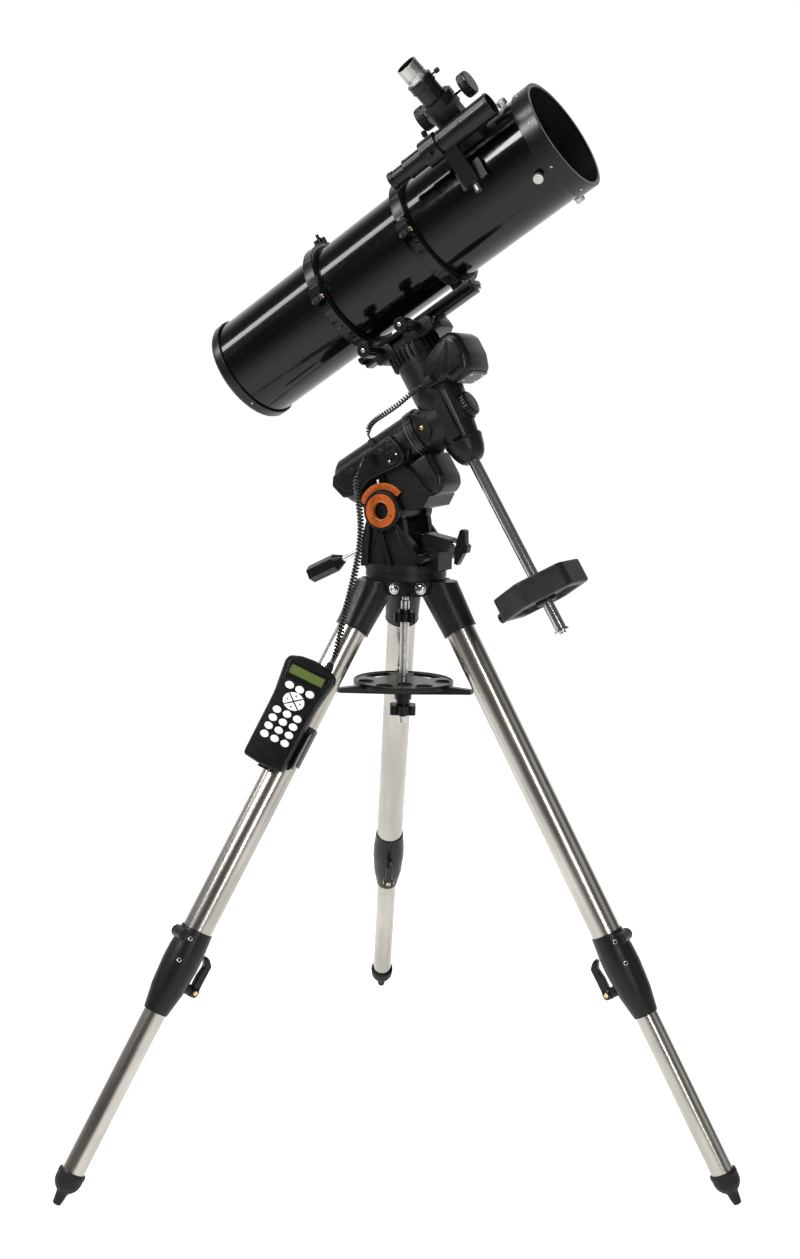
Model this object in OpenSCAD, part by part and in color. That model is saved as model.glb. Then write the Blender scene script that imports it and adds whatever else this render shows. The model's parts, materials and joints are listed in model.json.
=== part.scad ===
// Reflecting telescope on an equatorial mount and a steel tripod, in millimetres.
// X points north along the mount, Z is up, and the origin is on the ground
// under the tripod's centre line. The tube stands in its home position,
// parallel to the polar axis, with the counterweight bar below.

/* [Tripod] */
// Distance of each foot's tip from the centre line
foot_radius = 640; // [600:5:680]
// Direction of the first leg, in degrees east to west from north
leg_azimuth = 2; // [0:1:8]
// Radius of the upper, outer leg tubes
leg_outer_r = 25.4; // [25:0.1:25.4]
// Radius of the lower, inner leg tubes
leg_inner_r = 19; // [18:0.5:19]
// Length of each leg's lower clamp casting
clamp_len = 147; // [140:1:150]
// Distance from the foot's tip to the clamp's lower end
leg_extension = 338; // [320:1:360]
// Height of the accessory tray's top
tray_height = 809; // [800:1:815]
// Reach of the accessory tray's arms from the centre line
tray_reach = 132; // [120:1:132]

/* [Mount] */
// Tilt of the polar axis above the horizon, in degrees
latitude = 32.3; // [31:0.1:34]
// Radius of the mount's round foot
foot_plate_r = 71; // [68:1:72]
// Length of the counterweight bar from the polar axis
bar_len = 405; // [400:1:420]
// Radius of the counterweight bar
bar_r = 10; // [9:0.5:10]
// Distance of the counterweight's centre from the polar axis
weight_pos = 332; // [280:1:340]
// Radius of the counterweight over its rounded corners
weight_r = 78; // [70:1:80]
// Thickness of the counterweight
weight_t = 41; // [36:1:44]

/* [Telescope] */
// Distance from the polar axis to the tube's centre line
tube_offset = 277.5; // [277:0.5:280]
// Radius of the tube
tube_r = 91.5; // [91:0.5:92]
// Tube's rear end, measured along the tube from the declination axis
tube_rear = -313; // [-320:1:-305]
// Tube's front end, measured along the tube from the declination axis
tube_front = 398; // [395:1:410]
// Place of the focuser along the tube
focuser_z = 276; // [270:1:285]
// Direction of the focuser around the tube, in degrees from the side away from the mount
focuser_angle = 40; // [35:1:45]

/* [Hidden] */
$fn = 48;
RUN = 0.05;        // running fit, on the radius
GAP = 0.3;         // gap between faces that move past each other
leg_top_r = 63.3;  // radius and height of a point on the leg's centre line, beside its hinge
leg_top_z = 979.7;
foot_lift = 3.5;   // height of the centre of the foot's slanted end face
leg_angle = atan((foot_radius - leg_top_r) / (leg_top_z - foot_lift));
leg_len = norm([foot_radius - leg_top_r, leg_top_z - foot_lift]);
hinge_x = -14;     // the leg hinge, in the leg's own frame
hinge_z = 6.3;
head_z = 990;      // underside of the tripod head's disc
plate_z = 1005;    // underside of the mount's round foot
polar_x = 78.6;    // where the polar and declination axes cross
polar_z = 1269.2;
pivot_x = -18.1;   // the latitude pivot
pivot_z = 1107.3;
ring_rear = -68;   // the two tube rings
ring_front = 127;
ring_w = 20;
ring_r = tube_r + 11;
hinge_psi = 93;    // the side on which the rings hinge
knob_z1 = 38;      // the saddle's two clamp knobs
knob_z2 = -42;
peg_x = 60;        // the azimuth peg and its two screws
peg_z = 1031;
hand_cord_r = 6;   // the coiled cord, in the object's own frame
hand_cord_route = [[-39, -72, 1198.5], [-39, -83, 1196], [-42, -91, 1182], [-48, -93, 1158],
    [-45, -92, 1130], [-38, -94, 1092], [-35, -100, 1051], [-36, -111, 1009], [-38, -125, 968],
    [-40, -140, 931], [-41, -150, 898], [-44, -158, 869], [-48.5, -166.3, 853]];
declination_cord_r = 4.5;   // the smooth cord, in the equatorial frame
declination_cord_route = [[-58, -52, 7.5], [-57, -53, -6], [-54, -57, -26], [-51, -60, -52],
    [-51, -60, -78], [-52, -57, -104], [-49, -51, -122], [-41, -48, -130], [-32, -48, -130]];
control_s = 268;   // the hand control's place along its leg
control_turn = 28; // and its direction around that leg

// ---- shared shapes ----

// Outline in X and Z, extruded along Y from y0 to y1
module slab(y0, y1, pts)
    translate([0, y1, 0]) rotate([90, 0, 0]) linear_extrude(y1 - y0) polygon(pts);

// Cylinder along Y at x, z
module along_y(x, z, r, y0, y1)
    translate([x, y1, z]) rotate([90, 0, 0]) cylinder(r = r, h = y1 - y0);

// Cylinder or cone along X from x0 to x1
module along_x(x0, x1, r, r2 = -1)
    translate([x0, 0, 0]) rotate([0, 90, 0]) cylinder(r1 = r, r2 = r2 < 0 ? r : r2, h = x1 - x0);

// Cylinder or cone along Z from z0 to z1
module along_z(z0, z1, r, r2 = -1)
    translate([0, 0, z0]) cylinder(r1 = r, r2 = r2 < 0 ? r : r2, h = z1 - z0);

// Box given by its two corners
module box(a, b) translate(a) cube(b - a);

// Knob with rounded lobes around Z
module lobed_knob(r, h, lobes, lobe_r) {
    cylinder(r = r - lobe_r, h = h);
    for (i = [0 : lobes - 1]) rotate([0, 0, i * 360 / lobes])
        translate([r - lobe_r, 0, 0]) cylinder(r = lobe_r, h = h);
}

// Direction of leg i, from 1 to 3
function leg_dir(i) = leg_azimuth + 120 * (i - 1);

// Leg frame: Z runs up the leg's centre line and X points outwards
module leg(i) rotate([0, 0, leg_dir(i)]) translate([leg_top_r, 0, leg_top_z])
    rotate([0, -leg_angle, 0]) children();

// Equatorial frame: Z runs up the polar axis and X down the counterweight bar
module sky() translate([polar_x, 0, polar_z]) rotate([0, 90 - latitude, 0]) children();

// Tube frame: Z runs along the tube, X points away from the mount
module tube() sky() translate([-tube_offset, 0, 0]) rotate([0, 0, 180]) children();

// Frame at an angle around the tube, with X pointing outwards
module around(psi, z) tube() rotate([0, 0, psi]) translate([0, 0, z]) children();

// Focuser frame: Z points out of the tube, X to the tube's rear end
module focuser() around(focuser_angle, focuser_z) rotate([0, 90, 0]) children();

// Finder frame: Z runs along the finder's centre line
finder_psi = 62;
finder_dist = 136;
module finder() around(finder_psi, 0) translate([finder_dist, 0, 0]) children();

// Hand control frame: X points out of its face, Y across it and Z up it
module control() leg(3) rotate([0, 0, control_turn]) translate([60, 0, -control_s])
    rotate([0, 0, 20]) children();

// ---- tripod ----

module head_ear(side) {
    difference() {
        union() {
            slab(side > 0 ? 32.5 : -38.5, side > 0 ? 38.5 : -32.5,
                [[18, 962], [22, 990.5], [66, 990.5], [62, 978], [52, 966], [38, 962]]);
            along_y(48, 976.5, 13, side > 0 ? 32.5 : -38.5, side > 0 ? 38.5 : -32.5);
        }
        along_y(hinge_world()[0], hinge_world()[1], 4, -50, 50);
    }
}

// Radius and height of a leg's hinge
function hinge_world() = [
    leg_top_r + hinge_x * cos(leg_angle) - hinge_z * sin(leg_angle),
    leg_top_z + hinge_x * sin(leg_angle) + hinge_z * cos(leg_angle)];

module tripod_head() color("#1c1c1d") difference() {
    union() {
        along_z(head_z, plate_z - GAP, 69);
        along_z(994, 1001, 70);
        along_z(963, head_z, 18.5);
        for (i = [1 : 3]) rotate([0, 0, leg_dir(i)]) {
            head_ear(1);
            head_ear(-1);
        }
        translate([peg_x, 0, 0]) along_z(head_z + 4, peg_z + 5, 5);
    }
    along_z(950, 1010, 6);
}

module hinge_bolts() color("silver") for (i = [1 : 3]) rotate([0, 0, leg_dir(i)]) {
    along_y(hinge_world()[0], hinge_world()[1], 4, -42, 42);
    for (s = [-1, 1]) along_y(hinge_world()[0], hinge_world()[1], 8,
        s > 0 ? 38.5 : -43, s > 0 ? 43 : -38.5);
}

module center_rod() color("silver") {
    along_z(733, 950, 7.5);
    along_z(950, 1026, 5.5);
}

module mounting_knob() color("#1a1a1b") difference() {
    union() {
        translate([0, 0, 913]) lobed_knob(21, 15, 3, 8);
        along_z(913, 935, 11.5);
    }
    along_z(900, 940, 7.5 + RUN);
}

// Upper hinge bracket and lower clamp of one leg
module leg_castings(i) color("#1d1d1e") {
    difference() {
        intersection() {
            leg(i) along_z(-86, hinge_z + 11.5, 29.3, 34);
            rotate([0, 0, leg_dir(i)]) box([0, -32, 800], [160, 32, head_z - 0.6]);
        }
        leg(i) along_z(-90, -36, leg_outer_r);
        leg(i) translate([hinge_x, 0, hinge_z]) rotate([90, 0, 0])
            cylinder(r = 4 + RUN, h = 100, center = true);
    }
    leg(i) translate([0, 0, leg_extension - leg_len]) difference() {
        union() {
            along_z(0, 40, 21, 28);
            along_z(40, 85, 28, 31);
            along_z(85, 110, 31, 30.6);
            along_z(110, clamp_len, 30.6, 27.3);
            translate([25, 0, clamp_len - 16]) rotate([90, 0, 0]) cylinder(r = 10, h = 30, center = true);
            translate([-29, 0, 52]) rotate([0, -90, 0]) cylinder(r = 9, h = 10);
        }
        along_z(-1, 60, leg_inner_r + RUN);
        along_z(60, clamp_len + 1, leg_outer_r);
        translate([-20, 0, 52]) rotate([0, -90, 0]) cylinder(r = 4 + RUN, h = 30);
    }
}

module leg_tube(i) color("#b9b5ad") leg(i) difference() {
    along_z(leg_extension + 60 - leg_len, -36, leg_outer_r);
    along_z(-leg_len, 0, leg_outer_r - 1.6);
}

module lower_tube(i) color("#bfbbb3") leg(i) difference() {
    along_z(43 - leg_len, 745 - leg_len, leg_inner_r);
    along_z(-leg_len, 0, leg_inner_r - 1.6);
}

module rubber_foot(i) color("#161616") leg(i) translate([0, 0, -leg_len]) difference() {
    union() {
        along_z(0, 24, 6.8, 11.6);
        translate([0, 0, 41.5]) sphere(r = 22.5);
        along_z(41.5, 56, 22.5);
    }
    along_z(43, 70, leg_inner_r);
}

// Lever on the inner side of a clamp, turning on a screw that points at the leg
module lock_lever(i) color("#161616") leg(i) translate([0, 0, leg_extension - leg_len + 52]) {
    translate([-24, 0, 0]) rotate([0, -90, 0]) cylinder(r = 4, h = 26);
    translate([-41, 0, 0]) rotate([0, -90, 0]) cylinder(r = 9, h = 13);
    slab(-6, 6, [[-41, 0], [-41, 30], [-44, 50], [-38, 58], [-42, 61], [-54, 52], [-54, 0]]);
}

module accessory_tray() color("#1b1b1c") difference() {
    union() {
        along_z(tray_height - 6, tray_height, 86);
        along_z(tray_height - 26, tray_height, 14);
        for (i = [1 : 3]) rotate([0, 0, leg_dir(i)])
            slab(-6, 6, [[8, tray_height - 24], [8, tray_height], [tray_reach, tray_height - 3],
                [tray_reach, tray_height - 11]]);
    }
    along_z(tray_height - 40, tray_height + 9, 7.5 + RUN);
    for (slot = [[80, 24], [163, 22]]) rotate([0, 0, slot[0]]) tray_slot(slot[1]);
    for (hole = tray_holes) rotate([0, 0, hole[1]])
        translate([hole[0], 0, tray_height - 10]) cylinder(r = hole[2], h = 20);
}

// Radius, direction and size of the eyepiece holes
tray_holes = [[69, -89, 14.5], [67, -28, 14], [42, -58, 13], [69, 25, 12], [68, -135, 12.5]];

// Curved slot through the tray, spanning an angle to each side of X
module tray_slot(half) translate([0, 0, tray_height - 10]) linear_extrude(20)
    polygon(concat([for (a = [-half : half / 4 : half]) 78 * [cos(a), sin(a)]],
        [for (a = [half : -half / 4 : -half]) 50 * [cos(a), sin(a)]]));

module tray_knob() color("#171717") difference() {
    union() {
        translate([0, 0, 749]) lobed_knob(25, 17, 6, 7);
        along_z(766, 776, 12);
        along_z(776, tray_height - 26 - RUN, 15);
    }
    along_z(740, 800, 7.5 + RUN);
}

// ---- mount base ----

module base_cheek(side) {
    y0 = side > 0 ? 37 : -50;
    slab(y0, y0 + 13, [[-60, plate_z + 5], [-62, 1052], [-52, 1092], [-30, 1136], [4, 1129],
        [16, 1112], [24, 1068], [46, 1048], [46, plate_z + 5]]);
}

module base_rib(side, pts) slab(side > 0 ? 50 : -57, side > 0 ? 57 : -50, pts);

front_slope = -11;
module front_screw_frame() translate([100, 0, 1051]) rotate([0, 90 - front_slope, 0]) children();
rear_slope = 26;
module rear_screw_frame() translate([-118, 0, 1017.5]) rotate([0, 90 - rear_slope, 0]) children();

module mount_base() color("#1b1b1c") difference() {
    union() {
        along_z(plate_z, plate_z + 11, foot_plate_r);
        for (s = [-1, 1]) {
            intersection() {
                base_cheek(s);
                union() {
                    along_y(pivot_x, pivot_z, 36, s > 0 ? 36 : -52, s > 0 ? 52 : -36);
                    box([-70, -60, 1000], [60, 60, 1094]);
                }
            }
            along_y(pivot_x, pivot_z, 34.5, s > 0 ? 37 : -55, s > 0 ? 55 : -37);
            base_rib(s, [[-24, 1075], [-18, 1075], [4, 1012], [-4, 1012]]);
            base_rib(s, [[-48, 1088], [-42, 1082], [-44, 1012], [-52, 1012]]);
            base_rib(s, [[4, 1084], [10, 1090], [44, 1050], [44, 1042]]);
        }
        box([-62, -50, plate_z + 5], [46, 50, plate_z + 18]);
        box([-62, -38, plate_z + 5], [-52, 38, 1046]);
        slab(-13, 13, [[-56, 1016], [-62, 1054], [-76, 1048], [-82, 1034], [-70, 1018]]);
        slab(-25, 25, [[40, plate_z + 3], [40, 1046], [70, 1046], [76, 1040], [76, plate_z + 3]]);
        slab(-17, 17, [[38, 1040], [38, 1064], [44, 1071], [88, 1063], [91, 1060], [88, 1041]]);
    }
    for (s = [-1, 1]) along_y(pivot_x, pivot_z, 19, s > 0 ? 30 : -60, s > 0 ? 60 : -30);
    front_screw_frame() along_z(-80, 20, 5.5 + RUN);
    rear_screw_frame() along_z(-10, 80, 5 + RUN);
    box([48, -14.5, 1000], [72, 14.5, 1040]);
    along_y(peg_x, peg_z, 4 + RUN, -40, 40);
    along_z(1000, 1035, 6.5);
}

module azimuth_knob(side) color("#1a1a1b") {
    along_y(peg_x, peg_z, 4, side > 0 ? 15 : -37, side > 0 ? 37 : -15);
    along_y(peg_x, peg_z, 8.5, side > 0 ? 36 : -62, side > 0 ? 62 : -36);
}

// Orange caps on both ends of the latitude pivot, and the orange latitude scale
module pivot_caps() color("#d9601a") {
    for (s = [-1, 1]) difference() {
        along_y(pivot_x, pivot_z, 28.5, s > 0 ? 55 : -62, s > 0 ? 62 : -55);
        along_y(pivot_x, pivot_z, 14.5, s > 0 ? 54 : -63, s > 0 ? 63 : -54);
        for (a = [20, 140, 260]) translate([pivot_x, s * 62, pivot_z]) rotate([0, a, 0])
            translate([21.5, 0, 0]) rotate([90, 0, 0]) cylinder(r = 1.6, h = 6, center = true);
    }
    intersection() {
        difference() {
            along_y(pivot_x, pivot_z, 47, -53.5, -50);
            along_y(pivot_x, pivot_z, 36, -54, -46);
        }
        slab(-56, -46, [for (p = [[0, 0], [60, 60], [0, 75], [-60, 60], [-70, 18]])
            [pivot_x + p[0], pivot_z + p[1]]]);
    }
}

module latitude_screw_front() color("#202020") front_screw_frame() {
    along_z(-110, 2, 5.5);
    slab(-7, 7, [[-31, 4], [-28, 0], [-9, -2], [9, -2], [30, 2], [31, 8], [9, 15], [6, 21], [-6, 21],
        [-9, 15], [-30, 10]]);
}

module latitude_screw_rear() color("#191919") rear_screw_frame() {
    along_z(-12, 103, 5);
    translate([0, 0, -84]) cylinder(r = 16, h = 58, $fn = 6);
    translate([0, 0, -26]) cylinder(r1 = 15, r2 = 8, h = 15);
}

// ---- polar axis ----

panel_outline = [[-18, -92], [8, -84], [24, -84], [34, -92], [36, -105], [28, -165], [36, -190],
    [38, -205], [28, -226], [0, -235], [-14, -225], [-18, -200]];
neck_outline = [[20, -222], [70, -205], [110, -172], [106, -131], [60, -100], [20, -75]];
block_outline = [[20, -134], [20, -74], [34, -86], [36, -98], [106, -81], [117, -100], [106, -132],
    [70, -133], [50, -138]];

module polar_housing() color("#1c1c1d") sky() difference() {
    union() {
        along_z(-222, -73, 44);
        along_z(-232, -222, 38, 44);
        slab(-46, 46, block_outline);
        polar_neck();
        slab(-48.5, -45, [[44, -92], [50, -97], [104, -86], [104, -76]]);
        lug();
        along_y(pivot_e()[0], pivot_e()[1], 19 - RUN, -53, 53);
    }
    along_z(-240, -60, 12);
}

// Part of the polar housing between the base's cheeks
module polar_neck() intersection() {
    slab(-36, 36, neck_outline);
    union() {
        along_y(pivot_e()[0], pivot_e()[1], 28, -36, 36);
        box([0, -40, -215], [74, 40, -80]);
    }
}

// The latitude pivot in the equatorial frame
function pivot_e() = [
    (pivot_x - polar_x) * sin(latitude) - (pivot_z - polar_z) * cos(latitude),
    (pivot_x - polar_x) * cos(latitude) + (pivot_z - polar_z) * sin(latitude)];

// Arm below the pivot that the two latitude screws push on
module lug() translate([pivot_e()[0], 0, pivot_e()[1]]) rotate([0, latitude - 90, 0]) {
    slab(-11, 11, [[-7, -38], [-7, 0], [7, 0], [7, -38]]);
    along_y(0, -38, 8, -11, 11);
}

module polar_motor_cover() color("#1f1f20") sky() difference() {
    union() {
        slab(-40, 40, [[40, -96], [40, -48], [96, -48], [112, -54], [119, -66], [118, -84], [108, -98]]);
        slab(-44, 44, [[40, -92], [40, -54], [94, -54], [108, -60], [112, -68], [111, -84], [104, -92]]);
    }
    along_z(-100, -40, 46.5);
    slab(-60, 60, block_outline);
    slab(-50, -44, [[40, -100], [40, -84], [106, -70], [120, -100]]);
    polar_neck();
}

module port_panel() color("#1a1a1b") sky() difference() {
    union() {
        slab(-56, -20, panel_outline);
        slab(-58, -56, [[-16, -93], [8, -87], [22, -87], [31, -94], [33, -105], [25, -165], [33, -190],
            [35, -204], [26, -223], [1, -232], [-12, -223], [-16, -200]]);
    }
    along_z(-240, -60, 44);
    slab(-60, -10, block_outline);
    polar_neck();
    for (z = [-102, -120, -184]) along_y(-2, z, 6, -60, -51);
    along_y(-3, -137, 5, -60, -50);
    along_y(12, -96, 4, -60, -54);
}

// Plugs of the two cords, where they enter the polar housing
module cord_plugs() color("#151515") sky() {
    along_y(-3, -137, 5, -64, -50);
    along_y(-3, -137, 6.5, -72, -64);
    translate([-18, -48, -130]) rotate([0, -90, 0]) cylinder(r = 6, h = 14);
}

// ---- declination axis ----

module setting_circle() color("#141414") sky() {
    difference() {
        along_z(-72.6, -52, 46);
        along_z(-80, -40, 14);
    }
}

module declination_housing() color("#1d1d1e") sky() difference() {
    union() {
        along_x(-97.5, -44, 44);
        along_x(-44, 49, 44, 29);
        along_x(49, 62, 29.5, 29);
        along_x(62, 80, 29, 21);
        along_x(80, 87, 21, 14);
        along_z(-52, 0, 41);
        intersection() {
            along_z(0, 34, 25);
            box([-26, -22, 0], [26, 22, 34]);
        }
        slab(-41, -28, [[-40, -2], [-40, 20], [46, 16], [46, -2]]);
    }
    along_x(60, 90, bar_r);
    along_x(-100, -80, 12 + RUN);
    for (a = [20, 140, 260]) rotate([0, 0, a]) translate([36, 0, -60]) cylinder(r = 2.2, h = 12);
}

module polar_port_cap() color("#111111") sky() difference() {
    union() {
        along_z(34, 46, 21.5);
        for (a = [0 : 30 : 330]) rotate([0, 0, a]) translate([21, 0, 34]) cylinder(r = 1.6, h = 12);
    }
    along_x(-44, 49, 44, 29);
}

cover_outline = [[-50, 8], [-98, 10], [-110, 56], [-111, 80], [-103, 92], [-62, 94], [-38, 84], [-34, 46],
    [-44, 40]];
module declination_motor_cover() color("#1b1b1c") sky() difference() {
    union() {
        slab(-40, 40, cover_outline);
        slab(-46, 46, [[-52, 10], [-95, 12], [-106, 56], [-106, 76], [-99, 88], [-62, 89], [-42, 80],
            [-38, 48], [-46, 42]]);
        box([-66, -59, 8], [-50, -44, 24]);
    }
    along_x(-97.6, -20, 44);
    along_x(-120, -97.6, 44.5);
    along_z(0, 60, 26);
}

module counterweight_bar() color("silver") sky() {
    along_x(60, bar_len, bar_r);
    along_x(bar_len, bar_len + 4, 13);
    along_x(bar_len + 4, bar_len + 8, 6);
}

module counterweight() color("#2a2a2b") sky() difference() {
    translate([weight_pos - weight_t / 2, 0, 0]) rotate([0, 90, 0]) union() {
        intersection() {
            rotate([0, 0, 90]) cylinder(r = weight_r + 3, h = weight_t, $fn = 6);
            cylinder(r = weight_r, h = weight_t);
        }
        translate([0, 0, -3]) cylinder(r = 18, h = weight_t + 6);
    }
    along_x(200, 400, bar_r + RUN);
    translate([weight_pos + 8, 0, -100]) cylinder(r = 4 + RUN, h = 89);
}

module counterweight_knob() color("#151515") sky() translate([weight_pos + 8, 0, 0]) {
    along_z(-88, -12, 4);
    along_z(-90, -72, 9);
}

// ---- saddle, rings and tube ----

module saddle() color("#1e1e1f") sky() difference() {
    union() {
        along_x(-128, -98, 43);
        along_x(-98, -80, 12);
        slab(-34, 34, [[-141, -58], [-141, 64], [-134, 74], [-126, 74], [-120, 40], [-120, -40], [-128, -62]]);
        slab(23.5, 36, [[-158, -54], [-158, 58], [-130, 66], [-130, -60]]);
        slab(-38, -24.5, [[-160, -56], [-160, 52], [-134, 62], [-134, -60]]);
        for (z = [-50 : 12 : 60]) slab(-42, -33, [[-136, z - 2], [-136, z + 2], [-116, z + 1], [-116, z - 1]]);
    }
    translate([0, 0, -200]) linear_extrude(400) polygon([[-156, -22.3], [-141.5, -22.3], [-141.5, 22.3],
        [-156, 22.3], [-172, 19], [-172, -19]]);
    for (z = [knob_z1, knob_z2]) along_y(-150, z, 4 + RUN, -50, -22);
}

module saddle_knob(z) color("#181818") sky() {
    along_y(-150, z, 4, -42, -25);
    along_y(-150, z, 8, -72, -40);
    along_y(-150, z, 12, -98, -68);
}

module dovetail_bar() color("#202021") sky() translate([0, 0, -98]) linear_extrude(248)
    polygon([[-170, -18.6], [-170, 18.6], [-156, 22], [-142, 22], [-142, -22], [-156, -22]]);

// One half of a tube ring: side is 1 away from the mount and -1 towards it
module half_ring(z, side) tube() translate([0, 0, z]) {
    intersection() {
        difference() {
            cylinder(r = ring_r, h = ring_w, center = true);
            cylinder(r = tube_r + 0.02, h = ring_w + 2, center = true);
        }
        rotate([0, 0, hinge_psi - 90]) box([side > 0 ? 0 : -200, -200, -50], [side > 0 ? 200 : 0, 200, 50]);
    }
    for (psi = [hinge_psi, hinge_psi + 180]) rotate([0, 0, psi])
        box([tube_r + 4, side > 0 == (psi == hinge_psi) ? -13 : 0, -ring_w / 2],
            [tube_r + 21, side > 0 == (psi == hinge_psi) ? 0 : 13, ring_w / 2]);
}

module ring_lower_halves() color("#1c1c1d") difference() {
    union() {
        for (z = [ring_rear, ring_front]) {
            half_ring(z, -1);
            sky() difference() {
                box([-182, -20, z - 11], [-170, 20, z + 11]);
                translate([-tube_offset, 0, 0]) along_z(-200, 300, ring_r);
            }
        }
    }
    for (z = [ring_rear, ring_front]) tube() rotate([0, 0, hinge_psi])
        translate([tube_r + 15, 6.5, z]) cylinder(r = 3, h = 50, center = true);
}

module ring_upper_halves() color("#1c1c1d") difference() {
    for (z = [ring_rear, ring_front]) {
        half_ring(z, 1);
        around(0, z) box([ring_r - 3, -11, -10], [ring_r + 3, 11, 10]);
    }
    for (z = [ring_rear, ring_front]) around(0, z) rotate([0, 90, 0])
        translate([0, 0, tube_r + 2]) cylinder(r = 3, h = 20);
}

// Hinge pins, clamp knobs and the camera screw of the rings
module ring_knobs() color("#151515") {
    for (z = [ring_rear, ring_front]) {
        tube() rotate([0, 0, hinge_psi]) translate([tube_r + 15, 6.5, z])
            cylinder(r = 3, h = 27, center = true);
        around(hinge_psi + 180, z) translate([tube_r + 17, 13, 0]) rotate([-90, 0, 0])
            cylinder(r = 6.2, h = 14);
    }
    around(0, ring_rear) rotate([0, 90, 0]) {
        translate([0, 0, ring_r + 3]) lobed_knob(12, 9, 6, 4);
        translate([0, 0, tube_r + 2]) cylinder(r = 3, h = 32);
    }
}

module main_tube() color("#0c0c0d") difference() {
    tube() difference() {
        along_z(tube_rear + 7, tube_front - 3, tube_r);
        along_z(tube_rear - 10, tube_front + 10, tube_r - 1.5);
    }
    focuser() along_z(60, 120, 27);
}

module front_ring() color("#161616") tube() difference() {
    along_z(tube_front - 32, tube_front, 95);
    along_z(tube_front - 40, tube_front - 3, tube_r + 0.02);
    along_z(tube_front - 40, tube_front + 5, tube_r - 4);
}

module rear_cell() color("#161616") tube() difference() {
    union() {
        along_z(tube_rear + 6, tube_rear + 20, 95.5);
        along_z(tube_rear, tube_rear + 6, 92, 95.5);
        for (a = [0, 120, 240]) rotate([0, 0, a + 30]) translate([58, 0, tube_rear - 8]) cylinder(r = 7, h = 10);
    }
    along_z(tube_rear + 7, tube_rear + 30, tube_r);
}

module primary_mirror() color("#c9d4dc") tube() along_z(tube_rear + 22, tube_rear + 44, 76);

// Four vanes, the secondary mirror's holder and the nuts outside the tube
spider_z = 352;
module secondary_spider() color("#181818") {
    tube() {
        for (a = [0 : 90 : 270]) rotate([0, 0, focuser_angle - 2 + a]) {
            box([17.02, -0.6, spider_z - 9], [tube_r - 1.5, 0.6, spider_z + 9]);
            translate([tube_r, 0, spider_z]) rotate([0, 90, 0]) {
                cylinder(r = 3, h = 5);
                translate([0, 0, 5]) cylinder(r = 8, h = 9);
            }
        }
        along_z(spider_z - 48, spider_z + 10, 17);
    }
    difference() {
        tube() along_z(focuser_z - 26, spider_z - 48, 19);
        around(focuser_angle, focuser_z) rotate([0, 45, 0]) box([0, -60, -80], [80, 60, 80]);
    }
}

// ---- focuser and finder ----

module focuser_body() color("#1d1d1e") difference() {
    union() {
        focuser() {
            intersection() {
                box([-33, -31, 84], [33, 31, 101]);
                along_z(80, 101, 42);
            }
            along_z(98, 174, 26);
            along_z(163, 174, 27.5);
            box([-17, -45, 136], [17, -16, 164]);
            box([-26, -6, 100], [0, 24, 160]);
        }
    }
    tube() along_z(0, 390, tube_r);
    focuser() along_z(70, 180, 20 + RUN);
    focuser() translate([0, -33, 150]) rotate([0, 90, 0]) cylinder(r = 3 + RUN, h = 80, center = true);
}

module focuser_drawtube() color("#161616") focuser() difference() {
    union() {
        along_z(84, 198, 20);
        along_z(198, 213, 21.5);
        translate([-20, 0, 206]) rotate([0, -90, 0]) cylinder(r = 1.5, h = 10);
        translate([-28, 0, 206]) rotate([0, -90, 0]) cylinder(r = 3.5, h = 7);
    }
    along_z(80, 220, 17);
}

module eyepiece_adapter() color("#c8c8c6") focuser() difference() {
    union() {
        along_z(213, 243, 17.8);
        along_z(200, 213, 17);
    }
    along_z(190, 250, 15.9);
}

module focus_knobs() color("#171717") focuser() translate([0, -33, 150]) rotate([0, 90, 0]) {
    cylinder(r = 3, h = 86, center = true);
    for (s = [-1, 1]) translate([0, 0, s > 0 ? 36 : -52]) cylinder(r = 20, h = 16);
}

module finder_scope() color("#101010") difference() {
    union() {
        finder() {
            along_z(256, 355, 19.3);
            along_z(184, 256, 16.3);
            along_z(160, 184, 13);
            along_z(151, 160, 14.5);
            along_z(222, 252, 22.5);
            for (a = [60, 300]) rotate([0, 0, a]) translate([0, 0, 237]) rotate([0, 90, 0]) cylinder(r = 3, h = 33);
        }
        tube() translate([0, 0, 250]) linear_extrude(26) polygon([[-14, 100], [14, 99], [20, 110], [62, 118],
            [70, 112], [60, 128], [44, 126], [6, 114], [-14, 108]]);
        tube() difference() {
            box([-15, 84, 243], [17, 101, 290]);
            along_z(200, 300, tube_r);
        }
        tube() translate([-15, 96, 264]) rotate([0, -90, 0]) cylinder(r = 6, h = 12);
    }
    finder() along_z(300, 360, 17.5);
}

// ---- hand control ----

// Outline of the hand control, across Y and up Z, with a domed top
control_outline = [[-33, -88], [-35, -80], [-37, 20], [-43, 74], [-39, 84], [-22, 91], [0, 93.5],
    [22, 91], [39, 84], [43, 74], [37, 20], [35, -80], [33, -88], [0, -92]];

module control_solid(x0, x1, grow = 0) translate([x0, 0, 0]) rotate([90, 0, 90])
    linear_extrude(x1 - x0) offset(delta = grow) polygon(control_outline);

// Places and half lengths of the keys: three top keys, then four rows of three
function key_places() = concat(
    [for (i = [-1 : 1]) [i * 19, 38]],
    [for (r = [0 : 3]) for (i = [-1 : 1]) [i * 19, -8 - r * 15.5]]);

module key_shape(p, grow) translate([0, p[0], p[1]]) rotate([90, 0, 90]) {
    for (s = [-1, 1]) translate([s * 2, 0, 0]) cylinder(r = 5 + grow, h = 4);
    translate([-2, -5 - grow, 0]) cube([4, 10 + 2 * grow, 4]);
}

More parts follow.
